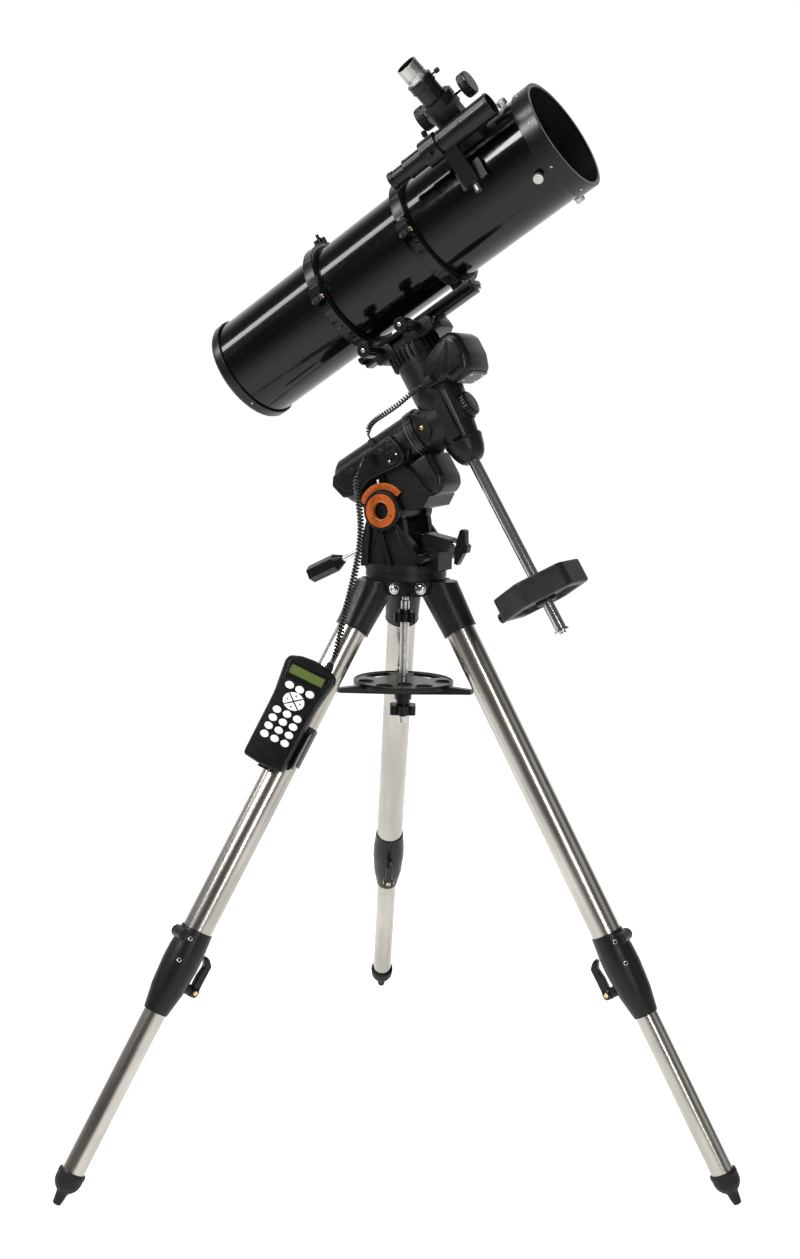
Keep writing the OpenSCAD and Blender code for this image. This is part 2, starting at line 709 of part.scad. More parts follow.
module arrow_shape(grow) intersection() {
    translate([0, 0, 16]) rotate([90, 0, 90]) cylinder(r = 14.5 + grow, h = 4);
    union() for (a = [0 : 90 : 270]) translate([0, 0, 16]) rotate([a, 0, 0])
        translate([0, 0, 1.6 - grow]) rotate([90, 0, 90]) linear_extrude(4)
            polygon([[-grow, 0], [grow, 0], [16 + grow, 16], [-16 - grow, 16]]);
}

module hand_control() color("#181818") control() difference() {
    union() {
        control_solid(-24, -4);
        translate([-4, 0, 0]) rotate([90, 0, 90]) linear_extrude(4) polygon([[-31, -86], [-33, -79], [-35, 20],
            [-41, 73], [-37, 82], [-21, 89], [0, 91.5], [21, 89], [37, 82], [41, 73], [35, 20], [33, -79],
            [31, -86], [0, -90]]);
        translate([-12, 24, 88]) cylinder(r1 = 8, r2 = 6, h = 16);
    }
    box([-2, -30, 52], [2, 30, 72]);
    translate([-3, 0, 0]) for (p = key_places()) key_shape(p, GAP);
    translate([-3, 0, 0]) arrow_shape(GAP);
}

module keypad() color("#e8e8e4") control() translate([-1.6, 0, 0]) {
    for (p = key_places()) key_shape(p, 0);
    arrow_shape(0);
}

module control_cradle() color("#141414") difference() {
    union() {
        leg(3) rotate([0, 0, control_turn]) translate([0, 0, -control_s]) difference() {
            union() {
                along_z(-70, 0, leg_outer_r + 3.5);
                box([20, -20, -70], [33, 20, 0]);
            }
            along_z(-80, 10, leg_outer_r);
            box([-40, -16, -80], [-10, 16, 10]);
        }
        control() difference() {
            box([-29, -42, -96], [-8, 42, 0]);
            box([-30, -28, -60], [-20, 28, 10]);
        }
    }
    control() control_solid(-24.6, 10, 0.8);
    control() box([-24.6, -41.5, -50], [10, 41.5, 10]);
}

// ---- cords ----

// Tube swept along a list of points, with n sides
module swept(pts, r, n) {
    function dir(i) = let (d = pts[min(i + 1, len(pts) - 1)] - pts[max(i - 1, 0)]) d / norm(d);
    function side(i) = let (c = cross(dir(i), [0, 1, 0.3])) c / norm(c);
    rings = [for (i = [0 : len(pts) - 1]) for (k = [0 : n - 1])
        pts[i] + r * (cos(k * 360 / n) * side(i) + sin(k * 360 / n) * cross(dir(i), side(i)))];
    walls = [for (i = [0 : len(pts) - 2]) for (k = [0 : n - 1])
        [i * n + k, i * n + (k + 1) % n, (i + 1) * n + (k + 1) % n, (i + 1) * n + k]];
    polyhedron(rings, concat([[for (k = [n - 1 : -1 : 0]) k]], walls,
        [[for (k = [0 : n - 1]) (len(pts) - 1) * n + k]]));
}

// Curve through the given points, with m steps between neighbours
function smooth(p, m) = concat([for (i = [0 : len(p) - 2]) for (k = [0 : m - 1])
    let (t = k / m, a = p[max(i - 1, 0)], b = p[i], c = p[i + 1], d = p[min(i + 2, len(p) - 1)])
    b + t * (c - a) / 2 + t * t * (a - 2.5 * b + 2 * c - d / 2) + t * t * t * ((b - c) * 1.5 + (d - a) / 2)],
    [p[len(p) - 1]]);

module hand_control_cord() color("#101010") swept(smooth(hand_cord_route, 3), hand_cord_r, 10);

module declination_cord() color("#101010") sky() swept(smooth(declination_cord_route, 3), declination_cord_r, 10);

// ---- assembly ----

tripod_head();
hinge_bolts();
center_rod();
mounting_knob();
for (i = [1 : 3]) {
    leg_castings(i);
    leg_tube(i);
    lower_tube(i);
    rubber_foot(i);
    lock_lever(i);
}
accessory_tray();
tray_knob();
mount_base();
azimuth_knob(-1);  // azimuth_knob_left
azimuth_knob(1);  // azimuth_knob_right
pivot_caps();
latitude_screw_front();
latitude_screw_rear();
polar_housing();
polar_motor_cover();
port_panel();
cord_plugs();
declination_housing();
declination_motor_cover();
setting_circle();
polar_port_cap();
counterweight_bar();
counterweight();
counterweight_knob();
saddle();
saddle_knob(knob_z1);  // saddle_knob_front
saddle_knob(knob_z2);  // saddle_knob_rear
dovetail_bar();
ring_lower_halves();
ring_upper_halves();
ring_knobs();
main_tube();
front_ring();
rear_cell();
primary_mirror();
secondary_spider();
focuser_body();
focuser_drawtube();
eyepiece_adapter();
focus_knobs();
finder_scope();
hand_control();
keypad();
control_cradle();
hand_control_cord();
declination_cord();
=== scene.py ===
"""Looks of a black reflecting telescope on an equatorial mount and a steel tripod.

Everything is in metres in the object's own frame: +X north along the mount, +Z up,
origin on the ground under the tripod's centre line.
"""
import json
import math

import bmesh
import bpy
from mathutils import Matrix, Vector


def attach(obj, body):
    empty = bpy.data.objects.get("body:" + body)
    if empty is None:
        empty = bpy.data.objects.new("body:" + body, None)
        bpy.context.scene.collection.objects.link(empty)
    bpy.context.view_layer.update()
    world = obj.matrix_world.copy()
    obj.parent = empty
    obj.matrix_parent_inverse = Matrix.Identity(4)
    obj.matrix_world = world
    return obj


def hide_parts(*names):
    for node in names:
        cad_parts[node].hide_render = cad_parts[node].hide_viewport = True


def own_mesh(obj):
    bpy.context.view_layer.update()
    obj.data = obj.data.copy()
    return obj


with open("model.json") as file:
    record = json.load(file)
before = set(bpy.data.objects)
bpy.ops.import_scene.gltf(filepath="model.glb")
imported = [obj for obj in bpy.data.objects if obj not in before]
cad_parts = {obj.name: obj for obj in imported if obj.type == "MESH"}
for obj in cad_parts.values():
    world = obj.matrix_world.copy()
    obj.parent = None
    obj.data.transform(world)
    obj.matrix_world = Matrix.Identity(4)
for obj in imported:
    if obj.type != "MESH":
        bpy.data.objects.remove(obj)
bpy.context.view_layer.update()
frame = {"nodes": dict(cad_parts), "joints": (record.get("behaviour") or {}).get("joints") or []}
MM = 0.001
JOINTS = {j["name"]: j for j in frame["joints"]}

# ---- camera ----

CAMERA_PLACE = (1.308, -2.355, 1.301)
CAMERA_YAW, CAMERA_PITCH, CAMERA_ROLL = 29.22, -8.5, 1.39
CAMERA_LENS = 44.71
SENSOR = 36.0


def make_camera():
    """A camera at the usual three-quarter view of the mount's front."""
    yaw, pitch, roll = (math.radians(a) for a in (CAMERA_YAW, CAMERA_PITCH, CAMERA_ROLL))
    forward = Vector((-math.sin(yaw) * math.cos(pitch), math.cos(yaw) * math.cos(pitch), math.sin(pitch)))
    level = Vector((math.cos(yaw), math.sin(yaw), 0))
    upright = level.cross(forward)
    right = math.cos(roll) * level + math.sin(roll) * upright
    up = math.cos(roll) * upright - math.sin(roll) * level
    data = bpy.data.cameras.new("camera")
    data.lens = CAMERA_LENS
    data.sensor_width = SENSOR
    data.sensor_fit = "AUTO"
    camera = bpy.data.objects.new("camera", data)
    bpy.context.scene.collection.objects.link(camera)
    basis = Matrix((right, up, -forward)).transposed().to_4x4()
    camera.matrix_world = Matrix.Translation(CAMERA_PLACE) @ basis
    bpy.context.scene.camera = camera


make_camera()

# ---- frames of the object ----


def frame_of(origin, z_axis, x_axis):
    """A 4x4 frame with these Z and X axes."""
    z = Vector(z_axis).normalized()
    x = (Vector(x_axis) - z * Vector(x_axis).dot(z)).normalized()
    y = z.cross(x)
    basis = Matrix((x, y, z)).transposed().to_4x4()
    return Matrix.Translation(Vector(origin)) @ basis


# Equatorial frame: Z up the polar axis, X down the counterweight bar
SKY = frame_of(JOINTS["right_ascension"]["pos_m"], JOINTS["right_ascension"]["axis"],
               JOINTS["declination_turn"]["axis"])
TUBE_OFFSET = 277.5 * MM
# Tube frame: Z along the tube, X away from the mount
TUBE = SKY @ Matrix.Translation((-TUBE_OFFSET, 0, 0)) @ Matrix.Rotation(math.pi, 4, "Z")
# Latitude frame: origin on the latitude pivot, axes as the object's
PIVOT = Matrix.Translation(JOINTS["latitude"]["pos_m"])


def around(psi, z):
    """Frame at an angle around the tube, in degrees, with X pointing outwards."""
    return TUBE @ Matrix.Rotation(math.radians(psi), 4, "Z") @ Matrix.Translation((0, 0, z))


LEG_LENGTH = 1133.8 * MM
LEVER_HEIGHT = 390 * MM
CLAMP_HEIGHT = 338 * MM
LEGS = (1, 2, 3)


def leg_frame(i):
    """Frame of leg i: Z up the leg's centre line, X outwards, origin at the top of the leg's length."""
    lever = JOINTS[f"lever_{i}_turn"]
    down = Vector(JOINTS[f"leg_{i}_slide"]["axis"])
    origin = Vector(lever["pos_m"]) - down * (LEG_LENGTH - LEVER_HEIGHT)
    return frame_of(origin, -down, -Vector(lever["axis"]))


# ---- cords ----

HAND_ROUTE = [(-39, -72, 1198.5), (-39, -83, 1196), (-42, -91, 1182), (-48, -93, 1158),
              (-45, -92, 1130), (-38, -94, 1092), (-35, -100, 1051), (-36, -111, 1009), (-38, -125, 968),
              (-40, -140, 931), (-41, -150, 898), (-44, -158, 869), (-48.5, -166.3, 853)]
# In the equatorial frame
DECLINATION_ROUTE = [(-58, -52, 7.5), (-57, -53, -6), (-54, -57, -26), (-51, -60, -52),
                     (-51, -60, -78), (-52, -57, -104), (-49, -51, -122), (-41, -48, -130), (-32, -48, -130)]


def smooth(points, steps):
    """Points on a curve through the given points, with steps between neighbours."""
    p = [Vector(q) for q in points]
    line = []
    for i in range(len(p) - 1):
        a, b, c, d = p[max(i - 1, 0)], p[i], p[i + 1], p[min(i + 2, len(p) - 1)]
        for k in range(steps):
            t = k / steps
            line.append(b + t * (c - a) / 2 + t * t * (a - 2.5 * b + 2 * c - d / 2)
                        + t ** 3 * ((b - c) * 1.5 + (d - a) / 2))
    return line + [p[-1]]


def resample(line, step):
    """Points at even distances along a line of points."""
    total = sum((b - a).length for a, b in zip(line, line[1:]))
    count = max(2, round(total / step))
    even, i, done = [line[0].copy()], 0, 0.0
    for k in range(1, count):
        want = total * k / count
        while done + (line[i + 1] - line[i]).length < want:
            done += (line[i + 1] - line[i]).length
            i += 1
        even.append(line[i].lerp(line[i + 1], (want - done) / (line[i + 1] - line[i]).length))
    return even + [line[-1].copy()]


def curl(line, radius, pitch, lead_in, lead_out, per_turn=14):
    """A helix around a line, straight over its first and last stretches."""
    even = resample(line, pitch / per_turn)
    step = (even[1] - even[0]).length
    side = Vector((0, 1, 0.3))
    turned = []
    for i, p in enumerate(even):
        ahead = (even[min(i + 1, len(even) - 1)] - even[max(i - 1, 0)]).normalized()
        side = (side - ahead * side.dot(ahead)).normalized()
        up = ahead.cross(side)
        ease = min(1, max(0, (i * step - lead_in) / (2 * pitch)))
        ease *= min(1, max(0, ((len(even) - 1 - i) * step - lead_out) / (2 * pitch)))
        angle = 2 * math.pi * i / per_turn
        turned.append(p + radius * ease * (math.cos(angle) * side + math.sin(angle) * up))
    return turned


def wire(name, line, radius, material):
    """A round wire along points, as a curve object."""
    data = bpy.data.curves.new(name, "CURVE")
    data.dimensions = "3D"
    data.bevel_depth = radius
    data.bevel_resolution = 4
    data.use_fill_caps = True
    data.resolution_u = 1
    spline = data.splines.new("POLY")
    spline.points.add(len(line) - 1)
    for point, place in zip(spline.points, line):
        point.co = (*place, 1)
    spline.use_smooth = True
    obj = bpy.data.objects.new(name, data)
    bpy.context.scene.collection.objects.link(obj)
    data.materials.append(material)
    return obj


def as_mesh(obj):
    """The same object as a mesh."""
    graph = bpy.context.evaluated_depsgraph_get()
    mesh = bpy.data.meshes.new_from_object(obj.evaluated_get(graph), depsgraph=graph)
    name = obj.name
    bpy.data.objects.remove(obj)
    whole = bpy.data.objects.new(name, mesh)
    bpy.context.scene.collection.objects.link(whole)
    return whole


# ---- materials ----


class Shader:
    """Short calls for building a node material."""

    def __init__(self, name):
        self.material = bpy.data.materials.new(name)
        self.material.use_nodes = True
        self.tree = self.material.node_tree
        self.bsdf = self.tree.nodes["Principled BSDF"]
        self.place = self.node("ShaderNodeTexCoord").outputs["Object"]

    def node(self, kind, **values):
        made = self.tree.nodes.new(kind)
        for key, value in values.items():
            if hasattr(made, key):
                setattr(made, key, value)
            else:
                made.inputs[key.replace("_", " ")].default_value = value
        return made

    def link(self, output, target):
        self.tree.links.new(output, target)

    def set(self, **values):
        for key, value in values.items():
            name = key.replace("_", " ")
            self.bsdf.inputs[name].default_value = value

    def noise(self, scale, detail=2.0, place=None, roughness=0.5):
        made = self.node("ShaderNodeTexNoise", Scale=scale, Detail=detail, Roughness=roughness)
        self.link(place or self.place, made.inputs["Vector"])
        return made.outputs["Fac"]

    def stretched(self, size, matrix=None):
        """Texture place scaled along each axis, after turning into a frame."""
        place = self.place
        if matrix is not None:
            turn = matrix.inverted().to_euler()
            mapping = self.node("ShaderNodeMapping")
            mapping.inputs["Rotation"].default_value = turn
            self.link(place, mapping.inputs["Vector"])
            place = mapping.outputs["Vector"]
        mapping = self.node("ShaderNodeMapping")
        mapping.inputs["Scale"].default_value = size
        self.link(place, mapping.inputs["Vector"])
        return mapping.outputs["Vector"]

    def ramp(self, value, low, high, a, b):
        made = self.node("ShaderNodeMapRange")
        made.inputs["From Min"].default_value = low
        made.inputs["From Max"].default_value = high
        made.inputs["To Min"].default_value = a
        made.inputs["To Max"].default_value = b
        self.link(value, made.inputs["Value"])
        return made.outputs["Result"]

    def colours(self, value, stops):
        made = self.node("ShaderNodeValToRGB")
        elements = made.color_ramp.elements
        while len(elements) < len(stops):
            elements.new(0.5)
        for element, (at, colour) in zip(elements, stops):
            element.position = at
            element.color = (*colour, 1)
        self.link(value, made.inputs["Fac"])
        return made.outputs["Color"]

    def finish(self, scale, detail, stops, rough_scale, rough, rough_detail=2):
        """Cloudy colour between two stops, and roughness that varies within a range."""
        self.link(self.colours(self.noise(scale, detail), stops), self.bsdf.inputs["Base Color"])
        self.link(self.ramp(self.noise(rough_scale, rough_detail), 0.3, 0.7, *rough),
                  self.bsdf.inputs["Roughness"])

    def bump(self, height, strength, distance):
        made = self.node("ShaderNodeBump", Strength=strength, Distance=distance)
        self.link(height, made.inputs["Height"])
        if self.bsdf.inputs["Normal"].links:
            self.link(self.bsdf.inputs["Normal"].links[0].from_socket, made.inputs["Normal"])
        self.link(made.outputs["Normal"], self.bsdf.inputs["Normal"])


def shade(colour, share):
    return tuple(min(1, c * share) for c in colour)


def powder_coat(name, colour):
    """Fine textured paint on a die casting."""
    s = Shader(name)
    s.finish(18, 3, [(0.3, shade(colour, 0.8)), (0.7, shade(colour, 1.25))], 90, (0.34, 0.42))
    s.bump(s.noise(900, 2), 0.035, 0.0006)
    s.set(Specular_IOR_Level=0.25)
    return s.material


def moulded(name, colour, rough):
    """Satin moulded plastic with a very fine spark-eroded grain."""
    s = Shader(name)
    s.finish(30, 2, [(0.3, shade(colour, 0.85)), (0.7, shade(colour, 1.15))], 120, rough)
    s.bump(s.noise(900, 1), 0.012, 0.0004)
    s.set(Specular_IOR_Level=0.26)
    return s.material


def rubber(name, colour):
    s = Shader(name)
    s.finish(60, 3, [(0.3, shade(colour, 0.6)), (0.75, shade(colour, 0.9))], 200, (0.5, 0.68), 3)
    s.bump(s.noise(1800, 2), 0.06, 0.0005)
    s.set(Specular_IOR_Level=0.22)
    return s.material


def tube_paint():
    """Deep gloss black with a clear coat."""
    s = Shader("gloss_black_paint")
    s.finish(9, 2, [(0.3, (0.0016, 0.0015, 0.0017)), (0.7, (0.0026, 0.0025, 0.0027))], 160, (0.10, 0.16))
    s.bump(s.noise(420, 2), 0.008, 0.0004)
    s.set(Coat_Weight=0.25, Coat_Roughness=0.04, Specular_IOR_Level=0.18)
    return s.material


def polished_steel(name, matrix, colour=(0.43, 0.405, 0.365), rough=(0.20, 0.27)):
    """Drawn and polished tube with fine lines along and faint smears."""
    s = Shader(name)
    lines = s.noise(1.0, 2, s.stretched((900, 900, 14), matrix))
    smear = s.noise(1.0, 3, s.stretched((30, 30, 7), matrix))
    tone = s.colours(smear, [(0.35, shade(colour, 0.86)), (0.65, shade(colour, 1.12))])
    s.link(tone, s.bsdf.inputs["Base Color"])
    s.link(s.ramp(lines, 0.3, 0.7, *rough), s.bsdf.inputs["Roughness"])
    s.set(Metallic=1.0)
    return s.material


def turned_steel(name, colour=(0.66, 0.655, 0.64), rough=(0.18, 0.3)):
    s = Shader(name)
    s.finish(40, 3, [(0.3, shade(colour, 0.85)), (0.7, colour)], 70, rough)
    s.set(Metallic=1.0)
    return s.material


def anodised(name, colour=(0.0034, 0.0033, 0.0034)):
    s = Shader(name)
    s.finish(25, 3, [(0.3, colour), (0.7, shade(colour, 1.6))], 40, (0.24, 0.31))
    s.bump(s.noise(700, 1), 0.01, 0.0002)
    s.set(Specular_IOR_Level=0.3)
    return s.material


def glossy_plastic(name, colour, rough):
    s = Shader(name)
    s.finish(35, 2, [(0.3, shade(colour, 0.88)), (0.7, colour)], 150, (rough * 0.85, rough * 1.2))
    s.bump(s.noise(900, 1), 0.02, 0.0003)
    return s.material


def mirror_glass():
    s = Shader("mirror_coating")
    s.link(s.ramp(s.noise(50, 2), 0.3, 0.7, 0.01, 0.04), s.bsdf.inputs["Roughness"])
    s.set(Base_Color=(0.85, 0.88, 0.92, 1), Metallic=1.0)
    return s.material


def lens_glass():
    """Dark coated glass, which reads as a lens without letting light through."""
    s = Shader("coated_lens")
    s.finish(40, 2, [(0.3, (0.006, 0.009, 0.014)), (0.7, (0.010, 0.013, 0.022))], 60, (0.03, 0.07))
    s.set(Coat_Weight=1.0, Coat_Roughness=0.02)
    return s.material


def display_green():
    """Green liquid-crystal display with a faint dot grid."""
    s = Shader("display_green")
    grid = s.node("ShaderNodeTexWave", Scale=260.0, Distortion=0.0)
    s.link(s.place, grid.inputs["Vector"])
    s.link(s.colours(grid.outputs["Fac"], [(0.2, (0.070, 0.100, 0.024)), (0.8, (0.092, 0.128, 0.032))]),
           s.bsdf.inputs["Base Color"])
    s.link(s.ramp(s.noise(90, 2), 0.3, 0.7, 0.14, 0.2), s.bsdf.inputs["Roughness"])
    s.set(Emission_Color=(0.12, 0.19, 0.05, 1), Emission_Strength=0.1)
    return s.material


def counterweight_paint():
    """Thick hammered black enamel on a cast weight."""
    s = Shader("hammered_black_enamel")
    cells = s.node("ShaderNodeTexVoronoi", Scale=420.0)
    s.link(s.place, cells.inputs["Vector"])
    tone = s.colours(s.noise(30, 3), [(0.3, (0.007, 0.0068, 0.0066)), (0.7, (0.012, 0.0115, 0.011))])
    s.link(tone, s.bsdf.inputs["Base Color"])
    s.link(s.ramp(cells.outputs["Distance"], 0.0, 0.6, 0.30, 0.52), s.bsdf.inputs["Roughness"])
    s.bump(cells.outputs["Distance"], 0.2, 0.0004)
    s.set(Specular_IOR_Level=0.3)
    return s.material


CASTING = powder_coat("black_powder_coat", (0.0052, 0.0049, 0.0047))
PLASTIC = moulded("satin_black_plastic", (0.0046, 0.0043, 0.0042), (0.28, 0.36))
DARK_PLASTIC = moulded("dark_knob_plastic", (0.0040, 0.0037, 0.0036), (0.24, 0.32))
GREY_PLASTIC = moulded("grey_plastic", (0.07, 0.07, 0.07), (0.4, 0.5))
RUBBER = rubber("black_rubber", (0.012, 0.012, 0.012))
CORD_RUBBER = glossy_plastic("cord_jacket", (0.008, 0.008, 0.008), 0.17)
PAINT = tube_paint()
STEEL = turned_steel("zinc_plated_steel")
BRASS = turned_steel("brass_screw", (0.72, 0.52, 0.24), (0.2, 0.32))
BARE_ALUMINIUM = turned_steel("turned_aluminium", (0.50, 0.49, 0.475), (0.26, 0.34))
ANODISED = anodised("black_anodising")
ORANGE = glossy_plastic("orange_plastic", (0.38, 0.078, 0.008), 0.3)
MIRROR = mirror_glass()
IRON = counterweight_paint()
KEYS = moulded("pale_key_plastic", (0.86, 0.86, 0.84), (0.4, 0.5))
INNER_BLACK = rubber("matt_black_lining", (0.004, 0.004, 0.004))
# Near-black used as painted shade in recesses and gaps, and for printed marks and dark seams
SHADE_AND_MARK_BLACK = rubber("painted_shade_and_mark_black", (0.0015, 0.0015, 0.0015))
COVER_PLASTIC = moulded("cover_plastic", (0.0060, 0.0057, 0.0055), (0.32, 0.40))
# Grey for printed marks and trims, and as a painted edge highlight on the setting circle's ring
GREY_MARK_AND_HIGHLIGHT = moulded("grey_marking_and_painted_highlight", (0.13, 0.13, 0.125), (0.35, 0.45))
WHITE_MARK = moulded("white_marking", (0.75, 0.75, 0.73), (0.35, 0.45))
WINDOW = glossy_plastic("display_window_plastic", (0.006, 0.006, 0.006), 0.12)
FELT = rubber("ring_felt", (0.006, 0.006, 0.006))
LENS = lens_glass()
DISPLAY = display_green()
BAR_STEEL = polished_steel("polished_bar", SKY @ Matrix.Rotation(math.pi / 2, 4, "Y"), (0.66, 0.655, 0.64),
                           (0.12, 0.22))
LEG_STEEL = [polished_steel(f"leg_steel_{i}", leg_frame(i)) for i in LEGS]

# ---- building pieces ----


def fit(obj, body, *nodes, slot=None):
    """Says what a piece rides on and the CAD nodes it stands for; slot is not used."""
    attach(obj, body)
    if nodes:
        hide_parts(*nodes)


def piece(name, bm, matrix, material, body, *nodes, slot=None, crease=35):
    """A finished mesh piece in place on its body, smooth, with sharp edges kept sharp."""
    bm.transform(matrix)
    if matrix.determinant() < 0:
        bmesh.ops.reverse_faces(bm, faces=bm.faces)
    mesh = bpy.data.meshes.new(name)
    bm.to_mesh(mesh)
    bm.free()
    for polygon in mesh.polygons:
        polygon.use_smooth = True
    mesh.set_sharp_from_angle(angle=math.radians(crease))
    mesh.materials.append(material)
    obj = bpy.data.objects.new(name, mesh)
    bpy.context.scene.collection.objects.link(obj)
    fit(obj, body, *nodes, slot=slot)


def join_rings(bm, rings):
    """Walls between neighbouring rings of as many corners."""
    for low, high in zip(rings, rings[1:]):
        for k in range(len(low)):
            n = (k + 1) % len(low)
            bm.faces.new((low[k], low[n], high[n], high[k]))


def lathe_mesh(profile, segments=48):
    """A closed turned solid from (radius, height) points in millimetres.

    A profile that starts or ends on the axis makes a full body, and any other one makes a ring.
    """
    bm = bmesh.new()
    rings = []
    if profile[0][0] > 0 and profile[-1][0] > 0 and profile[0] != profile[-1]:
        profile = profile + [profile[0]]
    for r, z in profile:
        corners = [(r * MM * math.cos(2 * math.pi * k / segments),
                    r * MM * math.sin(2 * math.pi * k / segments)) for k in range(segments if r > 0 else 1)]
        rings.append([bm.verts.new((x, y, z * MM)) for x, y in corners])
    for low, high in zip(rings, rings[1:]):
        for k in range(segments):
            n = (k + 1) % segments
            if len(low) == 1 and len(high) == 1:
                continue
            if len(low) == 1:
                bm.faces.new((low[0], high[n], high[k]))
            elif len(high) == 1:
                bm.faces.new((low[k], low[n], high[0]))
            else:
                bm.faces.new((low[k], low[n], high[n], high[k]))
    for end, other in ((rings[0], rings[-1]), (rings[-1], rings[0])):
        if len(end) > 1 and len(other) == 1:
            bm.faces.new(end)
    bmesh.ops.remove_doubles(bm, verts=bm.verts, dist=1e-6)
    bmesh.ops.recalc_face_normals(bm, faces=bm.faces)
    return bm


def rounded(points, radius, steps=5):
    """A closed outline in millimetres with its corners rounded; radius may be one per corner."""
    out = []
    count = len(points)
    for i, p in enumerate(points):
        r = radius[i] if isinstance(radius, (list, tuple)) else radius
        a, b, c = (Vector(points[(i + k) % count]) for k in (-1, 0, 1))
        u, v = (a - b).normalized(), (c - b).normalized()
        half = u.angle(v) / 2
        cut = min(r / math.tan(half), (a - b).length * 0.49, (c - b).length * 0.49)
        r = cut * math.tan(half)
        centre = b + (u + v).normalized() * (r / math.sin(half))
        start, end = b + u * cut - centre, b + v * cut - centre
        turn = start.angle_signed(end)
        for k in range(steps + 1):
            t = -turn * k / steps
            out.append(centre + Vector((start.x * math.cos(t) - start.y * math.sin(t),
                                        start.x * math.sin(t) + start.y * math.cos(t))))
    return out


def inset(outline, distance):
    """An outline moved inwards along its corners' normals."""
    count = len(outline)
    area = sum(outline[i].x * outline[(i + 1) % count].y - outline[(i + 1) % count].x * outline[i].y
               for i in range(count))
    sign = 1 if area > 0 else -1
    moved = []
    for i, p in enumerate(outline):
        before, after = outline[i - 1], outline[(i + 1) % count]
        along = (after - before).normalized()
        moved.append(p + sign * distance * Vector((-along.y, along.x)))
    return moved


def pillow_mesh(outline, low, high, rim_low, rim_high, steps=5):
    """An outline extruded along Z from low to high, in millimetres, with round rims."""
    levels = []
    for k in range(steps + 1):
        t = math.pi / 2 * k / steps
        levels.append((rim_low * (1 - math.sin(t)), low + rim_low * (1 - math.cos(t))))
    for k in range(steps + 1):
        t = math.pi / 2 * k / steps
        levels.append((rim_high * (1 - math.cos(t)), high - rim_high * (1 - math.sin(t))))
    bm = bmesh.new()
    rings = []
    for depth, z in levels:
        rings.append([bm.verts.new((p.x * MM, p.y * MM, z * MM)) for p in inset(outline, depth)])
    join_rings(bm, rings)
    bm.faces.new(rings[0][::-1])
    bm.faces.new(rings[-1])
    bmesh.ops.remove_doubles(bm, verts=bm.verts, dist=1e-6)
    bmesh.ops.recalc_face_normals(bm, faces=bm.faces)
    return bm


def slab(points, radius, low, high, rim_low, rim_high):
    """A pillow with a rounded outline."""
    return pillow_mesh(rounded(points, radius), low, high, rim_low, rim_high)


# Stands an outline up across X and Z, extruded along -Y
UPRIGHT = Matrix.Rotation(math.pi / 2, 4, "X")


def box_mesh(size, bevel=0.5, segments=2):
    """A box centred on the origin, in millimetres, with bevelled edges."""
    bm = bmesh.new()
    bmesh.ops.create_cube(bm, size=1)
    for v in bm.verts:
        v.co = Vector((v.co.x * size[0], v.co.y * size[1], v.co.z * size[2])) * MM
    if bevel:
        bmesh.ops.bevel(bm, geom=bm.edges[:], offset=bevel * MM, segments=segments, affect="EDGES",
                        profile=0.5)
    return bm


def joined(*meshes):
    """Several bmeshes as one, each given with its matrix."""
    whole = bmesh.new()
    for bm, matrix in meshes:
        bm.transform(matrix)
        part = bpy.data.meshes.new("part")
        bm.to_mesh(part)
        bm.free()
        whole.from_mesh(part)
        bpy.data.meshes.remove(part)
    return whole


def move(x, y, z):
    return Matrix.Translation((x * MM, y * MM, z * MM))


def turn(degrees, axis):
    return Matrix.Rotation(math.radians(degrees), 4, axis)


def screw(name, matrix, r, h, material, body):
    """A domed screw head standing on Z = 0, with a cross recess drawn as two near-black boxes of painted
    shade.
    """
    dome = [(r, 0), (r, 0.35 * h), (0.93 * r, 0.6 * h), (0.75 * r, 0.82 * h), (0.4 * r, 0.96 * h), (0, h)]
    piece(name, lathe_mesh(dome, 24), matrix, material, body)
    cross = joined((box_mesh((1.15 * r, 0.24 * r, 0.3 * h), 0), move(0, 0, 0.86 * h)),
                   (box_mesh((0.24 * r, 1.15 * r, 0.3 * h), 0), move(0, 0, 0.86 * h)))
    piece(name + "_cross_shade", cross, matrix, SHADE_AND_MARK_BLACK, body, slot="silver_steel")


def knob_mesh(r, h, ribs, depth, crown=1.5):
    """A ribbed knob along Z with a rounded crown."""
    bm = bmesh.new()
    segments = ribs * 6
    levels = [(0.0, 0.93), (0.06, 1.0), (1 - crown / h, 1.0), (1 - 0.3 * crown / h, 0.95), (1.0, 0.86)]
    rings = []
    for t, s in levels:
        ring = []
        for k in range(segments):
            a = 2 * math.pi * k / segments
            wave = depth * max(0, math.cos(ribs * a)) ** 2
            radius = (r - wave) * s
            ring.append(bm.verts.new((radius * MM * math.cos(a), radius * MM * math.sin(a), t * h * MM)))
        rings.append(ring)
    join_rings(bm, rings)
    bm.faces.new(rings[0][::-1])
    bm.faces.new(rings[-1])
    return bm


# ---- cord pieces ----

CORD_WIRE = 1.9 * MM
hand_line = smooth([Vector(p) * MM for p in HAND_ROUTE], 8)
hand_curl = curl(hand_line, radius=4.2 * MM, pitch=5.8 * MM, lead_in=40 * MM, lead_out=8 * MM)
hand_cord = as_mesh(wire("hand_cord_coil", hand_curl, CORD_WIRE, CORD_RUBBER))
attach(hand_cord, "polar")
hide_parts("hand_control_cord")
# The coil's reach along its leg is worked out, and the cord gets a mesh of its own
up_leg = leg_frame(3).col[2].to_3d()
reach = abs((hand_curl[-1] - hand_curl[0]).dot(up_leg))
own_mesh(hand_cord)

dec_line = smooth([SKY @ (Vector(p) * MM) for p in DECLINATION_ROUTE], 8)
dec_curl = curl(dec_line, radius=3.3 * MM, pitch=5.4 * MM, lead_in=6 * MM, lead_out=6 * MM)
dec_cord = wire("declination_cord_coil", dec_curl, 1.65 * MM, CORD_RUBBER)
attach(dec_cord, "polar")
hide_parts("declination_cord")

# ---- frames of the parts ----

